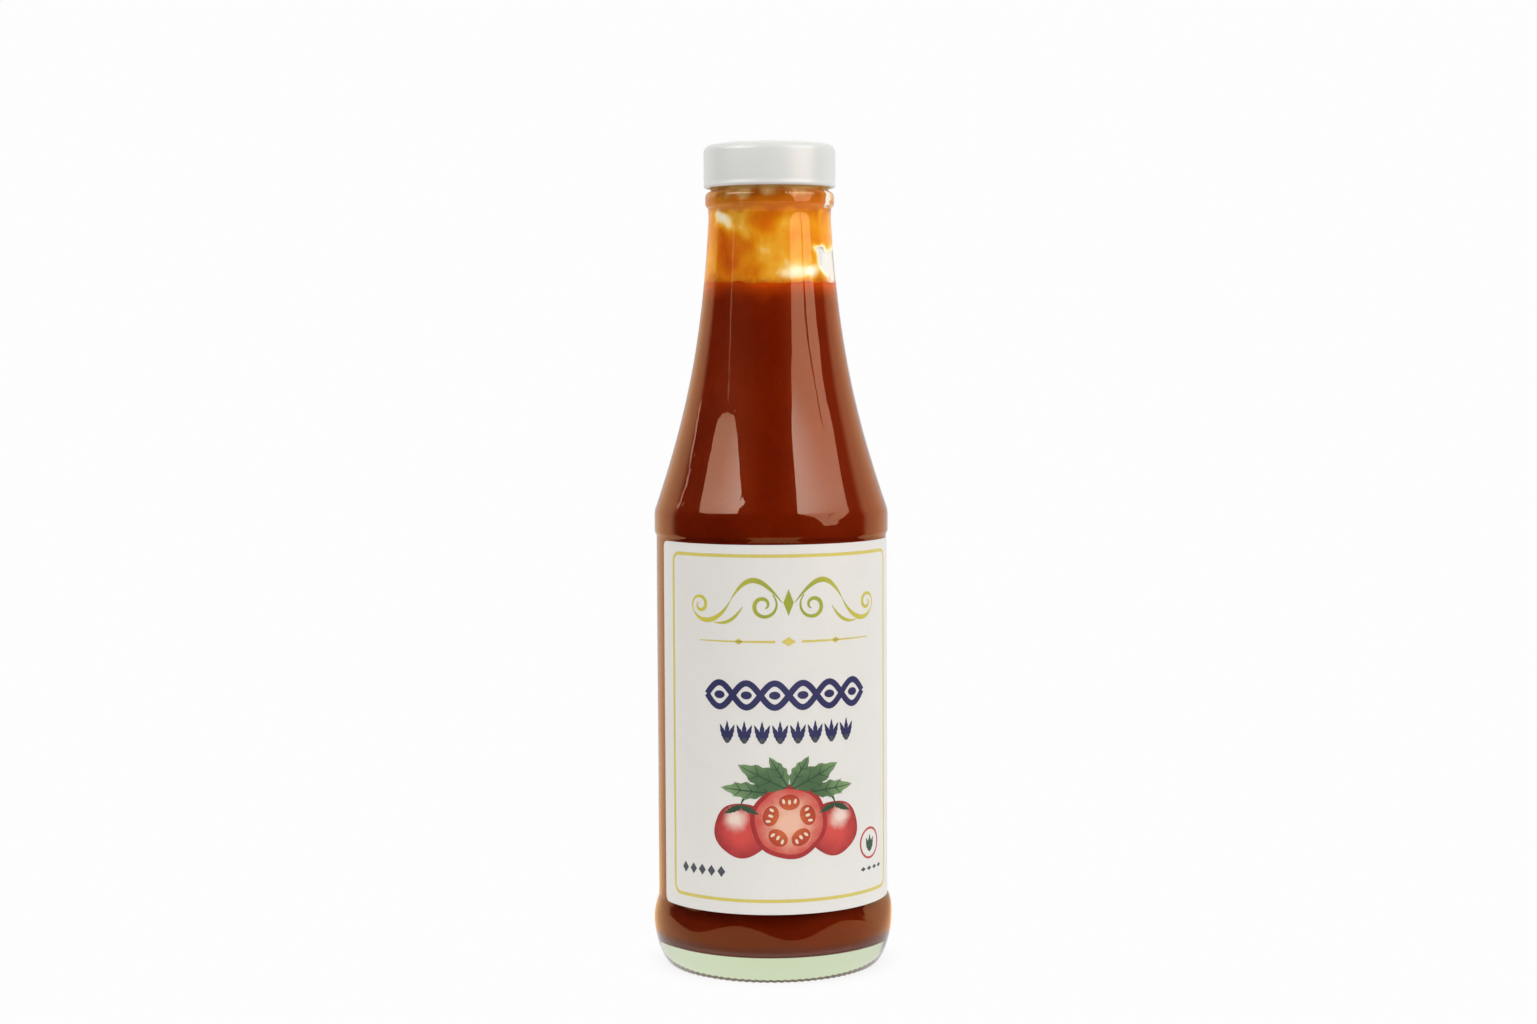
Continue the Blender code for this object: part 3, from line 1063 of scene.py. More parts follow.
# %% [markdown]
# A wash runs unevenly from one colour to another. The distance from a point gives the run, and noise
# frays it. The point's mirror image gets the same wash, so a mirrored pair needs one material only.

# %% Washes of printed colour
def wash_group():
    """A printed colour that turns into another away from a point and from its mirror image."""
    group, given, result = new_group(
        "Printed wash",
        [("Near", "colour", (0.7, 0.1, 0.1, 1)), ("Far", "colour", (0.4, 0.02, 0.02, 1)),
         ("Centre", "vector", (0.0, 0.0, 0.0)), ("Reach", "value", 0.01), ("Wetness", "value", 0.6)],
        [("Colour", "colour")])
    place = own_place(group)
    distance = vector_math(group, "DISTANCE", vector_math(group, "ABSOLUTE", place), given.outputs["Centre"])
    share = arithmetic(group, "DIVIDE", distance, given.outputs["Reach"])
    uneven = arithmetic(group, "SUBTRACT", texture(group, place, 320.0, 3.0), 0.5)
    wet = arithmetic(group, "ADD", share, arithmetic(group, "MULTIPLY", uneven, given.outputs["Wetness"]))
    wash = blend(group, ramp(group, wet, 0.15, 1.05), given.outputs["Near"], given.outputs["Far"])
    group.links.new(wash, result.inputs["Colour"])
    return group


printed_wash = wash_group()
print("node groups:", [group.name for group in bpy.data.node_groups])


# %% [markdown]
# ## Materials
#
# Every finish of the bottle starts from the Principled shader that a new material has. The helpers
# here place a group, add relief and hand the material to a piece, so that each finish below holds
# only its own values.

# %% A blank material
def new_material(name):
    """A material with its tree, its Principled shader and its output."""
    material = bpy.data.materials.new(name)
    material.use_nodes = True
    tree = material.node_tree
    return material, tree, tree.nodes["Principled BSDF"], tree.nodes["Material Output"]


def place_group(tree, group, **values):
    """A group in a material, with its named inputs set or linked."""
    made = tree.nodes.new("ShaderNodeGroup")
    made.node_tree = group
    for label, value in values.items():
        feed(tree, made.inputs[label], value)
    return made


def bumped(tree, height, shader, distance, strength=0.5, under=None):
    """Relief from a height into the shader's normal, over a coarser relief if one is given."""
    bump = tree.nodes.new("ShaderNodeBump")
    bump.inputs["Strength"].default_value = strength
    bump.inputs["Distance"].default_value = distance
    tree.links.new(height, bump.inputs["Height"])
    if under:
        tree.links.new(under, bump.inputs["Normal"])
    tree.links.new(bump.outputs["Normal"], shader.inputs["Normal"])
    return bump.outputs["Normal"]


def dress(piece, material):
    """Give a piece one material."""
    piece.data.materials.clear()
    piece.data.materials.append(material)


# %% [markdown]
# ## Glass
#
# Clear bottle glass is a transmissive surface with a trace of green that only shows where the glass
# is thick, so the green is an absorbing volume and not a surface colour. The sauce behind it glows
# red wherever strong light falls on it, so what the glass mirrors face-on is tinted a warm colour;
# at a grazing angle, where the glass is a plain mirror, the tint is gone. Light that has to be bent
# on its way to the sauce would take very many samples, so shadow rays pass straight through instead.

# %% The glass material
WHITE = (1.0, 1.0, 1.0, 1.0)
GLASS_INDEX = 1.52
GLASS_KEEPS = (0.52, 0.66, 0.27, 1.0)
GLASS_DENSITY = 18.0
GLASS_SHEEN = (1.0, 0.76, 0.58, 1.0)


def let_light_pass(tree, shader, output, colour):
    """Shadow rays pass straight through the surface and take on a colour."""
    clear = tree.nodes.new("ShaderNodeBsdfTransparent")
    clear.inputs["Color"].default_value = colour
    path = tree.nodes.new("ShaderNodeLightPath")
    mix = tree.nodes.new("ShaderNodeMixShader")
    tree.links.new(path.outputs["Is Shadow Ray"], mix.inputs[0])
    tree.links.new(shader.outputs["BSDF"], mix.inputs[1])
    tree.links.new(clear.outputs["BSDF"], mix.inputs[2])
    tree.links.new(mix.outputs["Shader"], output.inputs["Surface"])


def glass_material():
    """Clear, faintly green glass with the marks of handling."""
    material, tree, shader, output = new_material("Bottle_glass")
    shader.inputs["Base Color"].default_value = WHITE
    shader.inputs["Roughness"].default_value = 0.0
    shader.inputs["IOR"].default_value = GLASS_INDEX
    shader.inputs["Transmission Weight"].default_value = 1.0
    shader.inputs["Specular Tint"].default_value = GLASS_SHEEN
    marks = place_group(tree, handling, Roughness=0.0, Smudges=0.1, Scratches=0.3)
    bumped(tree, marks.outputs["Height"], shader, 0.05 * MM, 0.3)
    let_light_pass(tree, shader, output, WHITE)
    absorb = tree.nodes.new("ShaderNodeVolumeAbsorption")
    absorb.inputs["Color"].default_value = GLASS_KEEPS
    absorb.inputs["Density"].default_value = GLASS_DENSITY
    tree.links.new(absorb.outputs["Volume"], output.inputs["Volume"])
    return material


dress(glass, glass_material())


# %% [markdown]
# ## Sauce
#
# The body of the sauce is a deep brownish red. Light that enters it comes out again red, most of it
# near where it would be mirrored, so its sheen is tinted and blurred: that warms the reflections
# which lie over it in the glass. Just under its level a painted glow lightens its colour, for the
# light from above that shines through there.

# %% The body of the sauce
SAUCE_DEEP = (0.133, 0.0070, 0.0001, 1.0)
SAUCE_LIGHT = (0.172, 0.0106, 0.0002, 1.0)
# Painted glow: a lighter colour just under the sauce's level, for light from above shining through.
SAUCE_PAINTED_GLOW = (0.47, 0.050, 0.0008, 1.0)
GLOW_DEPTH = 6.0 * MM
GLOW_FALL = 2.2
GLOW_SWAY = 5.0 * MM
SHEEN_TINT = (1.0, 0.30, 0.12, 1.0)


def sauce_material():
    """Wet, dense sauce seen through glass."""
    material, tree, shader, _ = new_material("Sauce_body")
    place = own_place(tree)
    pulp = place_group(tree, sauce_pulp, Deep=SAUCE_DEEP, Light=SAUCE_LIGHT, Specks=0.12)
    # Painted glow: over the top few millimetres the colour turns towards the glow colour, with a wavering
    # edge.
    parts = tree.nodes.new("ShaderNodeSeparateXYZ")
    tree.links.new(place, parts.inputs[0])
    sway = arithmetic(tree, "SUBTRACT", texture(tree, place, 110.0, 2.0), 0.5)
    height = arithmetic(tree, "ADD", parts.outputs["Z"], arithmetic(tree, "MULTIPLY", sway, GLOW_SWAY))
    above = arithmetic(tree, "SUBTRACT", height, FILL_HEIGHT - GLOW_DEPTH)
    climb = tree.nodes.new("ShaderNodeClamp")
    tree.links.new(arithmetic(tree, "DIVIDE", above, GLOW_DEPTH), climb.inputs["Value"])
    share = arithmetic(tree, "POWER", climb.outputs["Result"], GLOW_FALL)
    tree.links.new(blend(tree, share, pulp.outputs["Colour"], SAUCE_PAINTED_GLOW), shader.inputs["Base Color"])
    shader.inputs["Roughness"].default_value = 0.3
    shader.inputs["Specular IOR Level"].default_value = 0.18
    shader.inputs["Specular Tint"].default_value = SHEEN_TINT
    bumped(tree, pulp.outputs["Height"], shader, 0.1 * MM, 0.25)
    return material


dress(sauce, sauce_material())

# %% [markdown]
# The film is the same sauce, thin. It is built up as one tone that runs from dark orange, where the
# film is thick, through amber to cream, where it is nearly gone, and is then coloured by a ramp. The
# ramp's pale tones are partly painted light: they also stand for light from behind that shines
# through the thin film. The tone is a noise that is stretched and bent by another one, as liquid
# that ran back leaves curved tails. A few places are given one by one: thick ones, thin ones, and
# ones where it ran off. Light passes through it and turns amber, so that the far side of the neck
# glows too.

# %% The tone of the film
NECK_INSIDE = 12.8 * MM
FILM_MEAN = 0.56
FILM_CONTRAST = 0.9
FILM_BEND = 8.0 * MM
# The pale end of these tones is partly painted light: the glow of light shining through the thin film from
# behind.
FILM_TONES = ((0.22, (0.45, 0.060, 0.0003, 1.0)), (0.36, (0.60, 0.125, 0.0004, 1.0)),
              (0.48, (0.66, 0.19, 0.0008, 1.0)), (0.58, (0.74, 0.29, 0.006, 1.0)),
              (0.70, (0.80, 0.42, 0.038, 1.0)), (0.84, (0.92, 0.74, 0.36, 1.0)),
              (1.0, (0.96, 0.93, 0.80, 1.0)))
FILM_SHIFTS = (
    (-66.0, 182.8, 3.6, 0.40),
    (-52.0, 182.0, 3.6, 0.30),
    (-38.0, 180.2, 3.0, 0.14),
    (-12.0, 183.5, 5.0, -0.30),
    (-60.0, 176.0, 6.0, -0.20),
    (-50.0, 171.5, 5.5, -0.18),
    (-22.0, 170.0, 5.0, -0.13),
    (8.0, 176.5, 6.5, 0.07),
    (14.0, 171.0, 3.6, 0.28),
    (28.0, 170.8, 4.2, 0.38),
    (42.0, 170.8, 4.2, 0.42),
    (23.0, 179.0, 6.0, -0.07),
    (24.0, 182.6, 4.5, 0.08),
    (60.0, 182.0, 3.6, 0.05),
    (150.0, 178.0, 7.0, -0.18),
    (-130.0, 180.0, 6.0, 0.16),
)
CLEAR_PATCHES = ((56.0, 173.4, 6.2), (70.0, 172.6, 7.0), (86.0, 172.4, 7.0), (102.0, 172.6, 7.0),
                 (116.0, 173.0, 6.0), (66.0, 188.6, 2.8))


def near(tree, place, angle, height, size):
    """1 at a point of the neck's wall, falling to 0 at a distance; height and size in millimetres."""
    turn = math.radians(angle)
    point = (NECK_INSIDE * math.sin(turn), -NECK_INSIDE * math.cos(turn), height * MM)
    return ramp(tree, vector_math(tree, "DISTANCE", place, point), 0.0, size * MM, 1.0, 0.0)


def film_tone(tree, place):
    """How thin the film is, from 0 to 1, and the bent coordinates it was made with."""
    bend = noise_node(tree, place, 105.0, 2.0, 0.5).outputs["Color"]
    centred = vector_math(tree, "SUBTRACT", bend, (0.5, 0.5, 0.5))
    bent = vector_math(tree, "ADD", place, vector_math(tree, "SCALE", centred, scale=FILM_BEND))
    tails = texture(tree, bent, 105.0, 3.0, 0.5)
    fine = texture(tree, bent, 430.0, 2.0, 0.5, (1.0, 1.0, 0.4))
    tone = weighted(tree, tails, 0.8, fine)
    spread = arithmetic(tree, "MULTIPLY", arithmetic(tree, "SUBTRACT", tone, 0.5), FILM_CONTRAST)
    tone = arithmetic(tree, "ADD", spread, FILM_MEAN)
    for angle, height, size, shift in FILM_SHIFTS:
        mask = near(tree, bent, angle, height, size)
        tone = arithmetic(tree, "ADD", tone, arithmetic(tree, "MULTIPLY", mask, shift))
    return tone, bent


# %% The film's material
FILM_EDGE = (0.33, 0.032, 0.0005, 1.0)
FILM_LOW = (0.46, 0.055, 0.0006, 1.0)
# A darker tone for the film from the ring upward.
RING_DARK_TONE = (0.42, 0.085, 0.0004, 1.0)
# Painted highlight: a cream line on the film just below the cap.
RING_PAINTED_HIGHLIGHT = (0.88, 0.66, 0.28, 1.0)
FILM_PASSES = (0.80, 0.52, 0.22, 1.0)
FILM_SWAY = 7.0 * MM
PATCH_RIM = (0.05, 0.40)
PATCH_THINNING = 0.4
PATCH_EDGE = (0.28, 0.42)
RING_SHARE = 0.75
IN_RING = (RING_BOTTOM - 1.6 * MM, RING_BOTTOM + 0.6 * MM)
OVER_RING = (RING_TOP - 2.0 * MM, RING_TOP + 0.2 * MM)
ABOVE_SAUCE = (FILL_HEIGHT - 1.4 * MM, FILL_HEIGHT + 2.6 * MM)


def film_material():
    """Thin sauce on the inside of the neck."""
    material, tree, shader, output = new_material("Sauce_film")
    place = own_place(tree)
    parts = tree.nodes.new("ShaderNodeSeparateXYZ")
    tree.links.new(place, parts.inputs[0])
    tone, bent = film_tone(tree, place)
    cover = 1.0
    for angle, height, size in CLEAR_PATCHES:
        mask = near(tree, bent, angle, height, size)
        tone = arithmetic(tree, "ADD", tone, ramp(tree, mask, *PATCH_RIM, 0.0, PATCH_THINNING))
        cover = arithmetic(tree, "MULTIPLY", cover, ramp(tree, mask, *PATCH_EDGE, 1.0, 0.0))
    tree.links.new(cover, shader.inputs["Alpha"])
    colours = tree.nodes.new("ShaderNodeValToRGB")
    elements = colours.color_ramp.elements
    elements[0].position, elements[0].color = FILM_TONES[0]
    elements[1].position, elements[1].color = FILM_TONES[-1]
    for position, colour in FILM_TONES[1:-1]:
        elements.new(position).color = colour
    tree.links.new(tone, colours.inputs["Fac"])
    wander = arithmetic(tree, "SUBTRACT", texture(tree, place, 170.0, 3.0), 0.5)
    level = arithmetic(tree, "ADD", parts.outputs["Z"], arithmetic(tree, "MULTIPLY", wander, FILM_SWAY))
    # From the ring upward the film turns darker, and just below the cap a painted cream highlight lies over
    # it.
    in_ring = ramp(tree, level, *IN_RING, 0.0, RING_SHARE)
    over_ring = ramp(tree, level, *OVER_RING)
    ring_tone_and_highlight = blend(tree, over_ring, RING_DARK_TONE, RING_PAINTED_HIGHLIGHT)
    ringed = blend(tree, in_ring, colours.outputs["Color"], ring_tone_and_highlight)
    above = ramp(tree, level, *ABOVE_SAUCE)
    pulp = place_group(tree, sauce_pulp, Deep=FILM_EDGE, Light=FILM_LOW, Specks=0.0)
    tree.links.new(blend(tree, above, pulp.outputs["Colour"], ringed), shader.inputs["Base Color"])
    shader.inputs["Roughness"].default_value = 0.5
    shader.inputs["Specular IOR Level"].default_value = 0.05
    let_light_pass(tree, shader, output, FILM_PASSES)
    return material


dress(film, film_material())


# %% [markdown]
# ## Enamel
#
# The cap is baked white enamel on steel: almost white, a little warm, with a satin gloss, a faint
# orange peel and the smudges and hairlines of a cap that has been twisted by hand.

# %% The cap's material
ENAMEL_WHITE = (0.715, 0.715, 0.69, 1.0)
ENAMEL_WORN = (0.62, 0.61, 0.58, 1.0)


def enamel_material():
    """White baked enamel."""
    material, tree, shader, _ = new_material("Cap_enamel")
    marks = place_group(tree, handling, Roughness=0.34, Smudges=0.10, Scratches=0.12)
    tree.links.new(marks.outputs["Roughness"], shader.inputs["Roughness"])
    colour = blend(tree, marks.outputs["Marks"], ENAMEL_WHITE, ENAMEL_WORN)
    tree.links.new(colour, shader.inputs["Base Color"])
    shader.inputs["Coat Weight"].default_value = 0.1
    shader.inputs["Coat Roughness"].default_value = 0.15
    bumped(tree, marks.outputs["Height"], shader, 0.05 * MM, 0.3)
    return material


dress(cap, enamel_material())


# %% [markdown]
# ## Paper and inks
#
# The paper and its inks share one grain, so that the print looks printed and not stuck on. Flat inks
# take a colour straight into the grain. The fruit is painted as a watercolour would be: one wash
# runs from red to a darker rim, and a second, small one leaves a soft pale light on it.

# %% Paper and ink materials
def ink(name, colour=None, washes=(), mottle=0.10, roughness=0.5):
    """Paper or ink: a flat colour, or washes one over the other, each round a point of its own."""
    material, tree, shader, _ = new_material(name)
    source = colour
    for near_colour, far_colour, centre, reach in washes:
        far = far_colour or source
        wash = place_group(tree, printed_wash, Near=near_colour, Far=far, Centre=centre, Reach=reach)
        source = wash.outputs["Colour"]
    grain = place_group(tree, paper_grain, Colour=source, Mottle=mottle, Roughness=roughness)
    tree.links.new(grain.outputs["Colour"], shader.inputs["Base Color"])
    tree.links.new(grain.outputs["Roughness"], shader.inputs["Roughness"])
    cockled = bumped(tree, grain.outputs["Cockle"], shader, 0.25 * MM, 0.5)
    bumped(tree, grain.outputs["Height"], shader, 0.02 * MM, 0.35, cockled)
    return material


def label_point(x, z):
    """The point of the label at a distance along it and a height, in millimetres, on its mirrored half."""
    angle = x * MM / PAPER_RADIUS
    return (PAPER_RADIUS * math.sin(angle), PAPER_RADIUS * math.cos(angle), z * MM)


dress(paper, ink("Label_paper", (0.775, 0.745, 0.702, 1.0)))
yellow = ink("Ink_yellow", (0.66, 0.55, 0.12, 1.0), mottle=0.35)
navy = ink("Ink_navy", (0.024, 0.024, 0.10, 1.0), mottle=0.5)
slate = ink("Ink_slate", (0.06, 0.07, 0.08, 1.0), mottle=0.5)
cream = ink("Ink_cream", (0.80, 0.66, 0.48, 1.0))
dark_green = ink("Ink_dark_green", (0.030, 0.075, 0.035, 1.0), mottle=0.5)
seal_red = ink("Ink_seal_red", (0.50, 0.07, 0.06, 1.0), mottle=0.4)

# %% Inks laid on as washes
middle_of_fruit = label_point(*FRUIT_CENTRE)
side_light = label_point(SIDE_FRUIT[0] + 1.4, SIDE_FRUIT[1] + 2.6)
CREAM_LIGHT = (0.86, 0.66, 0.56, 1.0)
olive = ink("Ink_olive", washes=[
    ((0.33, 0.36, 0.03, 1), (0.60, 0.53, 0.06, 1), label_point(0.0, 92.0), 22 * MM)])
red_side = ink("Ink_red_side", washes=[
    ((0.66, 0.06, 0.05, 1), (0.30, 0.014, 0.016, 1), label_point(*SIDE_FRUIT), 8.2 * MM),
    (CREAM_LIGHT, None, side_light, 3.6 * MM)])
red_middle = ink("Ink_red_middle", washes=[
    ((0.60, 0.05, 0.04, 1), (0.34, 0.013, 0.015, 1), middle_of_fruit, 10.4 * MM)])
flesh = ink("Ink_flesh", washes=[((0.84, 0.48, 0.34, 1), (0.60, 0.07, 0.05, 1), middle_of_fruit, 8.6 * MM)])
chamber_red = ink("Ink_chambers", washes=[
    ((0.62, 0.13, 0.03, 1), (0.42, 0.03, 0.01, 1), middle_of_fruit, 7 * MM)])
green = ink("Ink_green", washes=[
    ((0.060, 0.13, 0.05, 1), (0.20, 0.33, 0.14, 1), label_point(5.0, 48.0), 10 * MM)])

for piece, finish in (
    (label_frame, yellow), (flourish_piece, olive), (rule_piece, yellow), (band_piece, navy),
    (second_strand, navy), (leaf_band_piece, navy), (leaf_dot_piece, slate),
    (whole_fruit, red_side), (middle_fruit, red_middle), (flesh_ring, flesh), (chambers, chamber_red),
    (seed_piece, cream), (leaf_piece, green), (calyx_piece, dark_green), (stalk_piece, dark_green),
    (vein_piece, dark_green), (seal_ring, seal_red), (seal_middle, dark_green), (dash_piece, slate),
):
    dress(piece, finish)
print("materials:", len(bpy.data.materials))

# %% [markdown]
# ## Camera
#
# The camera stands a little to the left of the label's middle, about level with the neck, and looks
# down by a few degrees. A long lens keeps the upright sides almost parallel.

# %% Place the camera
SENSOR_WIDTH = 36.0
LENS = 58.36
CAMERA_TURN = math.radians(-8.0)
CAMERA_DISTANCE = 0.6157
CAMERA_HEIGHT = 0.1511
CAMERA_ASIDE = -0.00065
CAMERA_DOWN = math.radians(3.66)
CAMERA_ROLL = math.radians(-0.283)

camera_data = bpy.data.cameras.new("Camera")
camera_data.sensor_width = SENSOR_WIDTH
camera_data.lens = LENS
camera_data.clip_start = 0.01
camera = new_object("Camera", camera_data)
around = Matrix.Rotation(CAMERA_TURN, 4, "Z")
stand = Matrix.Translation((CAMERA_ASIDE, -CAMERA_DISTANCE, CAMERA_HEIGHT))
aim = Matrix.Rotation(math.radians(90) - CAMERA_DOWN, 4, "X") @ Matrix.Rotation(CAMERA_ROLL, 4, "Z")
camera.matrix_world = around @ stand @ aim
bpy.context.scene.camera = camera
print("camera at m:", [round(value, 4) for value in camera.matrix_world.translation])

# %% [markdown]
# ## Floor and light
#
# The bottle stands on a white table in front of a white backdrop. The table fades into plain white
# close to the bottle, and so has no visible edge and only a trace of a shadow. What the glass mirrors
# of the table and the room is warm, and pale only straight behind the bottle, because the veil along
# the sides of a full bottle is half mirrored light and half the glow of the sauce.

# %% The table
TABLE_RADIUS = 0.55
TABLE_FADE = (0.0, 0.036)
TABLE_COLOUR = (0.95, 0.95, 0.95, 1.0)
BACKDROP_WHITE = 0.985
TABLE_SEGMENTS = 96
MIRRORED_WARM = (1.48, 0.92, 0.48, 1.0)
MIRRORED_BACK = (0.90, 0.82, 0.77, 1.0)
WARM_FROM = (0.038, 0.052)
BACK_TURN = -3.0
BACK_ENDS = (0.76, 0.98)


def direction(turn, rise):
    """From the bottle towards a turn from the camera's side and a rise, in degrees."""
    heading = math.radians(turn) + CAMERA_TURN
    lift = math.radians(rise)
    return Vector((math.sin(heading) * math.cos(lift), -math.cos(heading) * math.cos(lift), math.sin(lift)))


def is_mirrored(tree):
    """1 for a ray that a smooth surface has just mirrored, and 0 for all others."""
    path = tree.nodes.new("ShaderNodeLightPath")
    return arithmetic(tree, "MULTIPLY", path.outputs["Is Singular Ray"], path.outputs["Is Reflection Ray"])


def warmed(tree, backward, share=1.0):
    """White, but warm for a mirrored ray, and dimmer for one that goes nearly straight backward."""
    tint = blend(tree, ramp(tree, backward, *BACK_ENDS), MIRRORED_WARM, MIRRORED_BACK)
    warmth = arithmetic(tree, "MULTIPLY", is_mirrored(tree), share)
    return blend(tree, warmth, WHITE, tint)


def flat_mesh(name, corners):
    """A single flat face that belongs to the studio and not to the bottle."""
    mesh = bpy.data.meshes.new(name)
    mesh.from_pydata(corners, [], [tuple(range(len(corners)))])
    mesh.update()
    piece = new_object(name, mesh)
    return piece


def table_material():
    """White near the bottle, where its shadow falls, and evenly bright further off."""
    material, tree, shader, output = new_material("Table_white")
    shader.inputs["Base Color"].default_value = TABLE_COLOUR
    shader.inputs["Roughness"].default_value = 0.6
    place = own_place(tree)
    away = vector_math(tree, "LENGTH", place)
    along = vector_math(tree, "DOT_PRODUCT", place, -direction(BACK_TURN, 0.0))
    backward = arithmetic(tree, "DIVIDE", along, away)
    glow = tree.nodes.new("ShaderNodeEmission")
    tree.links.new(warmed(tree, backward, ramp(tree, away, *WARM_FROM)), glow.inputs["Color"])
    glow.inputs["Strength"].default_value = BACKDROP_WHITE
    mix = tree.nodes.new("ShaderNodeMixShader")
    plain = arithmetic(tree, "MAXIMUM", ramp(tree, away, *TABLE_FADE), is_mirrored(tree))
    tree.links.new(plain, mix.inputs[0])
    tree.links.new(shader.outputs["BSDF"], mix.inputs[1])
    tree.links.new(glow.outputs["Emission"], mix.inputs[2])
    tree.links.new(mix.outputs["Shader"], output.inputs["Surface"])
    return material


table_edge = arc((0.0, 0.0), TABLE_RADIUS, 0, 360, TABLE_SEGMENTS)[:-1]
table_top = flat_mesh("Table_top", [(x, y, 0.0) for x, y in table_edge])
dress(table_top, table_material())

# %% [markdown]
# ### Soft boxes
#
# Two large soft boxes show in the glass as pale shapes, so their places follow from where those
# shapes lie: a reflection leaves the glass at twice the slope of its wall. What a box shows and what
# it lights are kept apart here. A glowing panel, which only reflections can see, gives the shape, and
# a plain area light behind it, which reflections can't see, gives the light, so that each can be
# tuned without the other. A panel is dimmer and warmer low down, as a soft box is below its lamp. The
# narrower panels give the thinner pale streaks beside the two large ones.

# %% Glowing panels that only reflections see
AIM = Vector((0.0, 0.0, 0.14))
PANEL_DISTANCE = 0.5
PANEL_HEIGHTS = (0.32, 0.40)
GLOW_LOW = (0.62, 0.46, 0.36, 1.0)


def show_in_glass_only(piece):
    """Hide a piece from the camera, from scattered light and from shadows."""
    piece.visible_camera = False
    piece.visible_diffuse = False
    piece.visible_shadow = False


def glowing_panel(name, middle, corners, radiance):
    """A flat panel; its middle and its corners are seen from the bottle at given turns and rises."""
    facing = direction(*middle)
    rays = [direction(*corner) for corner in corners]
    panel = flat_mesh(name, [AIM + ray * (PANEL_DISTANCE / ray.dot(facing)) for ray in rays])
    material, tree, _, output = new_material(name)
    glow = tree.nodes.new("ShaderNodeEmission")
    parts = tree.nodes.new("ShaderNodeSeparateXYZ")
    tree.links.new(own_place(tree), parts.inputs[0])
    share = ramp(tree, parts.outputs["Z"], *PANEL_HEIGHTS)
    tree.links.new(blend(tree, share, GLOW_LOW, WHITE), glow.inputs["Color"])
    glow.inputs["Strength"].default_value = radiance
    tree.links.new(glow.outputs["Emission"], output.inputs["Surface"])
    dress(panel, material)
    show_in_glass_only(panel)


LEFT_BOX = (
    (-82, 24.5), (-78.4, 21.4), (-77.8, 20.5), (-73.4, 20), (-67.1, 20.5), (-57.3, 21.4),
    (-49.8, 22.3), (-45.9, 23.4), (-40.3, 25.2), (-36.2, 26.7), (-33.3, 27.8), (-28.9, 28.7),
    (-25.6, 30), (-25, 38), (-86, 38))
LEFT_STAND = (
    (-71, 12.5), (-70.2, 13.8), (-67.3, 16.2), (-64.6, 18.7), (-61.5, 20.3),
    (-60, 20.5), (-64.1, 17.5), (-65.1, 16.3), (-67.3, 14), (-68.2, 12.5))
LEFT_EDGE = ((-111.2, 13), (-106.3, 14.7), (-101, 17), (-99, 16.9), (-105.2, 14.9), (-108.2, 13.4))
RIGHT_BOX = (
    (57, -6.9), (51.2, -6.8), (45.9, -4.9), (42.8, 8), (36.2, 13), (35.3, 16.4), (34.5, 18.3),
    (31.5, 20.6), (30, 23), (27.7, 25.3), (27.2, 27), (26.7, 28.7), (27.6, 38), (86, 38), (88, 21.5),
    (72, 21.5), (67.1, 20.2), (65, 19.2), (62.8, 18.3), (61, 17.2), (59.4, 16.3), (58.5, 15.4),
    (58.7, 14.3), (58.7, 13), (57, 12))
RIGHT_SIDE = (
    (57, -6.9), (66.5, -6.8), (71.1, -2.6), (76.7, 8), (80.5, 12.9), (80.2, 14.4), (81.7, 15),
    (81.2, 15.8), (80.2, 16.9), (82, 17.6), (84.5, 17.9), (85.9, 18.5), (84.8, 19.4), (84.4, 20.2),
    (86, 24.5), (72.6, 23), (69.9, 20.6), (68, 19.7), (65.8, 18.7), (64.2, 17.6), (62.7, 16.6),
    (61.9, 15.7), (61.8, 14.4), (61.8, 13), (58, 11.5))
glowing_panel("Panel_left", (-58, 26), LEFT_BOX, 7.0)
glowing_panel("Panel_left_stand", (-66, 17), LEFT_STAND, 3.0)
glowing_panel("Panel_left_edge", (-105, 15), LEFT_EDGE, 5.0)
glowing_panel("Panel_right", (57, 16), RIGHT_BOX, 6.6)
glowing_panel("Panel_right_side", (57, 16), RIGHT_SIDE, 6.6)

# %% [markdown]
# ### Dark flags
#
# Photographers set dark cards, called flags, where they want no reflection. The bulge over the heel
# is round in both directions, so it would mirror each panel as a bright blob of its own. Low bent
# cards close to the bottle hide the panels from the bulge, and the neck and the shoulder still see
# the panels over them.

# %% Dark flags
ROOM_DARK = 0.012
FLAG_DISTANCE = 0.085
FLAG_HEIGHTS = (0.020, 0.098)
FLAG_SEGMENTS = 4


def dark_flag(name, first_turn, last_turn):
    """A low bent card that keeps a panel out of the bulge over the heel."""
    material, _, shader, _ = new_material(name)
    shader.inputs["Base Color"].default_value = (ROOM_DARK, ROOM_DARK, ROOM_DARK, 1.0)
    shader.inputs["Roughness"].default_value = 1.0
    low, high = FLAG_HEIGHTS
    for index in range(FLAG_SEGMENTS):
        corners = []
        for step, heights in ((index, (low, high)), (index + 1, (high, low))):
            turn = first_turn + (last_turn - first_turn) * step / FLAG_SEGMENTS
            foot = direction(turn, 0.0) * FLAG_DISTANCE
            corners += [(foot.x, foot.y, height) for height in heights]
        card = flat_mesh(name + "_" + str(index), corners)
        dress(card, material)
        show_in_glass_only(card)


dark_flag("Flag_right", 26, 92)
dark_flag("Flag_left", -92, -20)

# %% [markdown]
# ### Area lights
#
# Three area lights light the sauce, the paper and the cap. They are large, so the shading is soft,
# and reflections don't see them, because the panels give the reflections already.

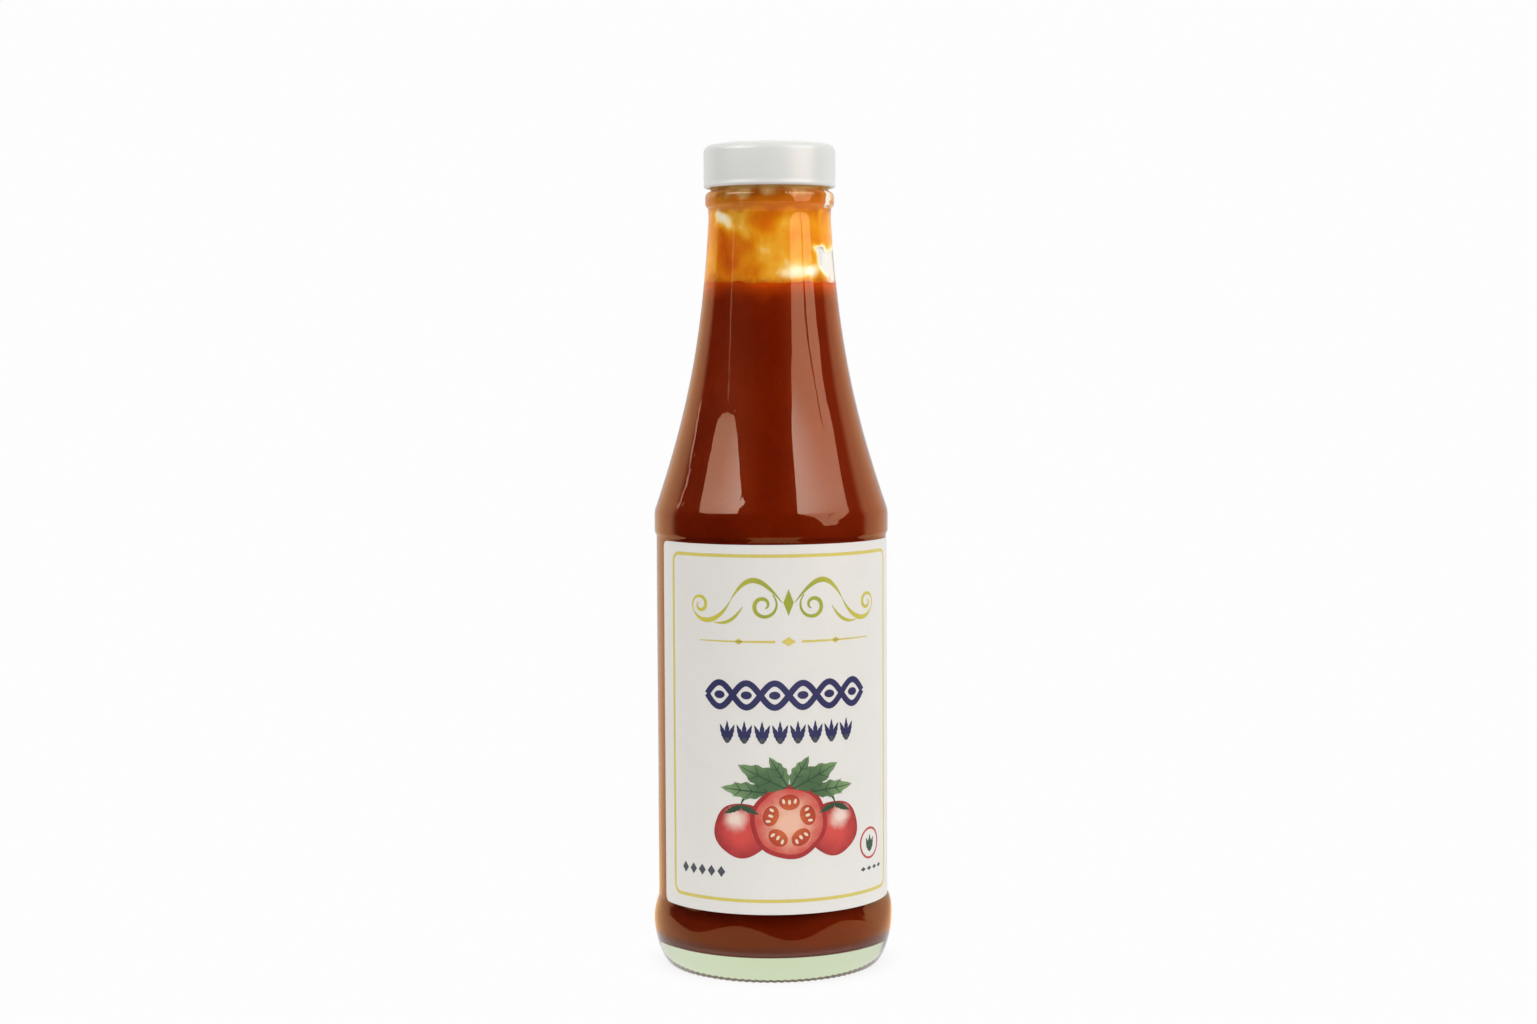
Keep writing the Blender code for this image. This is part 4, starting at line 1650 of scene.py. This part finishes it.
# %% Area lights that reflections don't see
LIGHT_DISTANCE = 1.2
LIGHT_SIZE = 0.95


def soft_light(name, turn, rise, radiance):
    """A square area light that faces the bottle."""
    light = bpy.data.lights.new(name, "AREA")
    light.shape = "SQUARE"
    light.size = LIGHT_SIZE
    light.energy = 4.0 * radiance * LIGHT_SIZE ** 2
    lamp = new_object(name, light)
    away = direction(turn, rise)
    facing = away.to_track_quat("Z", "Y").to_matrix().to_4x4()
    lamp.matrix_world = Matrix.Translation(AIM + away * LIGHT_DISTANCE) @ facing
    lamp.visible_camera = False
    lamp.visible_glossy = False
    lamp.visible_transmission = False


soft_light("Light_left", -64.0, 46.0, 2.7)
soft_light("Light_right", 58.0, 36.0, 2.9)
soft_light("Light_front", 0.0, 30.0, 0.95)

# %% [markdown]
# ### The surroundings
#
# The room is white behind the bottle and dark in front of it, as where only the backdrop is lit. The
# dark front leaves the panels as the only bright shapes in the glass. The camera itself always sees
# plain white, so the ground of the picture is even.

# %% The surroundings
BACK_FROM = 0.22
BACK_TO = 0.42


def surroundings():
    """A white backdrop behind the bottle and a dark room in front of it."""
    world = bpy.data.worlds.new("Studio")
    world.use_nodes = True
    tree = world.node_tree
    towards = tree.nodes.new("ShaderNodeTexCoord").outputs["Generated"]
    backward = vector_math(tree, "DOT_PRODUCT", towards, -direction(BACK_TURN, 0.0))
    level = ramp(tree, backward, BACK_FROM, BACK_TO, ROOM_DARK, BACKDROP_WHITE)
    path = tree.nodes.new("ShaderNodeLightPath")
    white = (BACKDROP_WHITE, BACKDROP_WHITE, BACKDROP_WHITE, 1.0)
    around = vector_math(tree, "SCALE", warmed(tree, backward), scale=level)
    seen = blend(tree, path.outputs["Is Camera Ray"], around, white)
    tree.links.new(seen, tree.nodes["Background"].inputs["Color"])
    bpy.context.scene.world = world


surroundings()

# %% [markdown]
# ## Colour
#
# White has to stay white, so the plain Standard view is used instead of a filmic one.

# %% Finish
bpy.context.scene.view_settings.view_transform = "Standard"
bpy.context.scene.view_settings.look = "None"
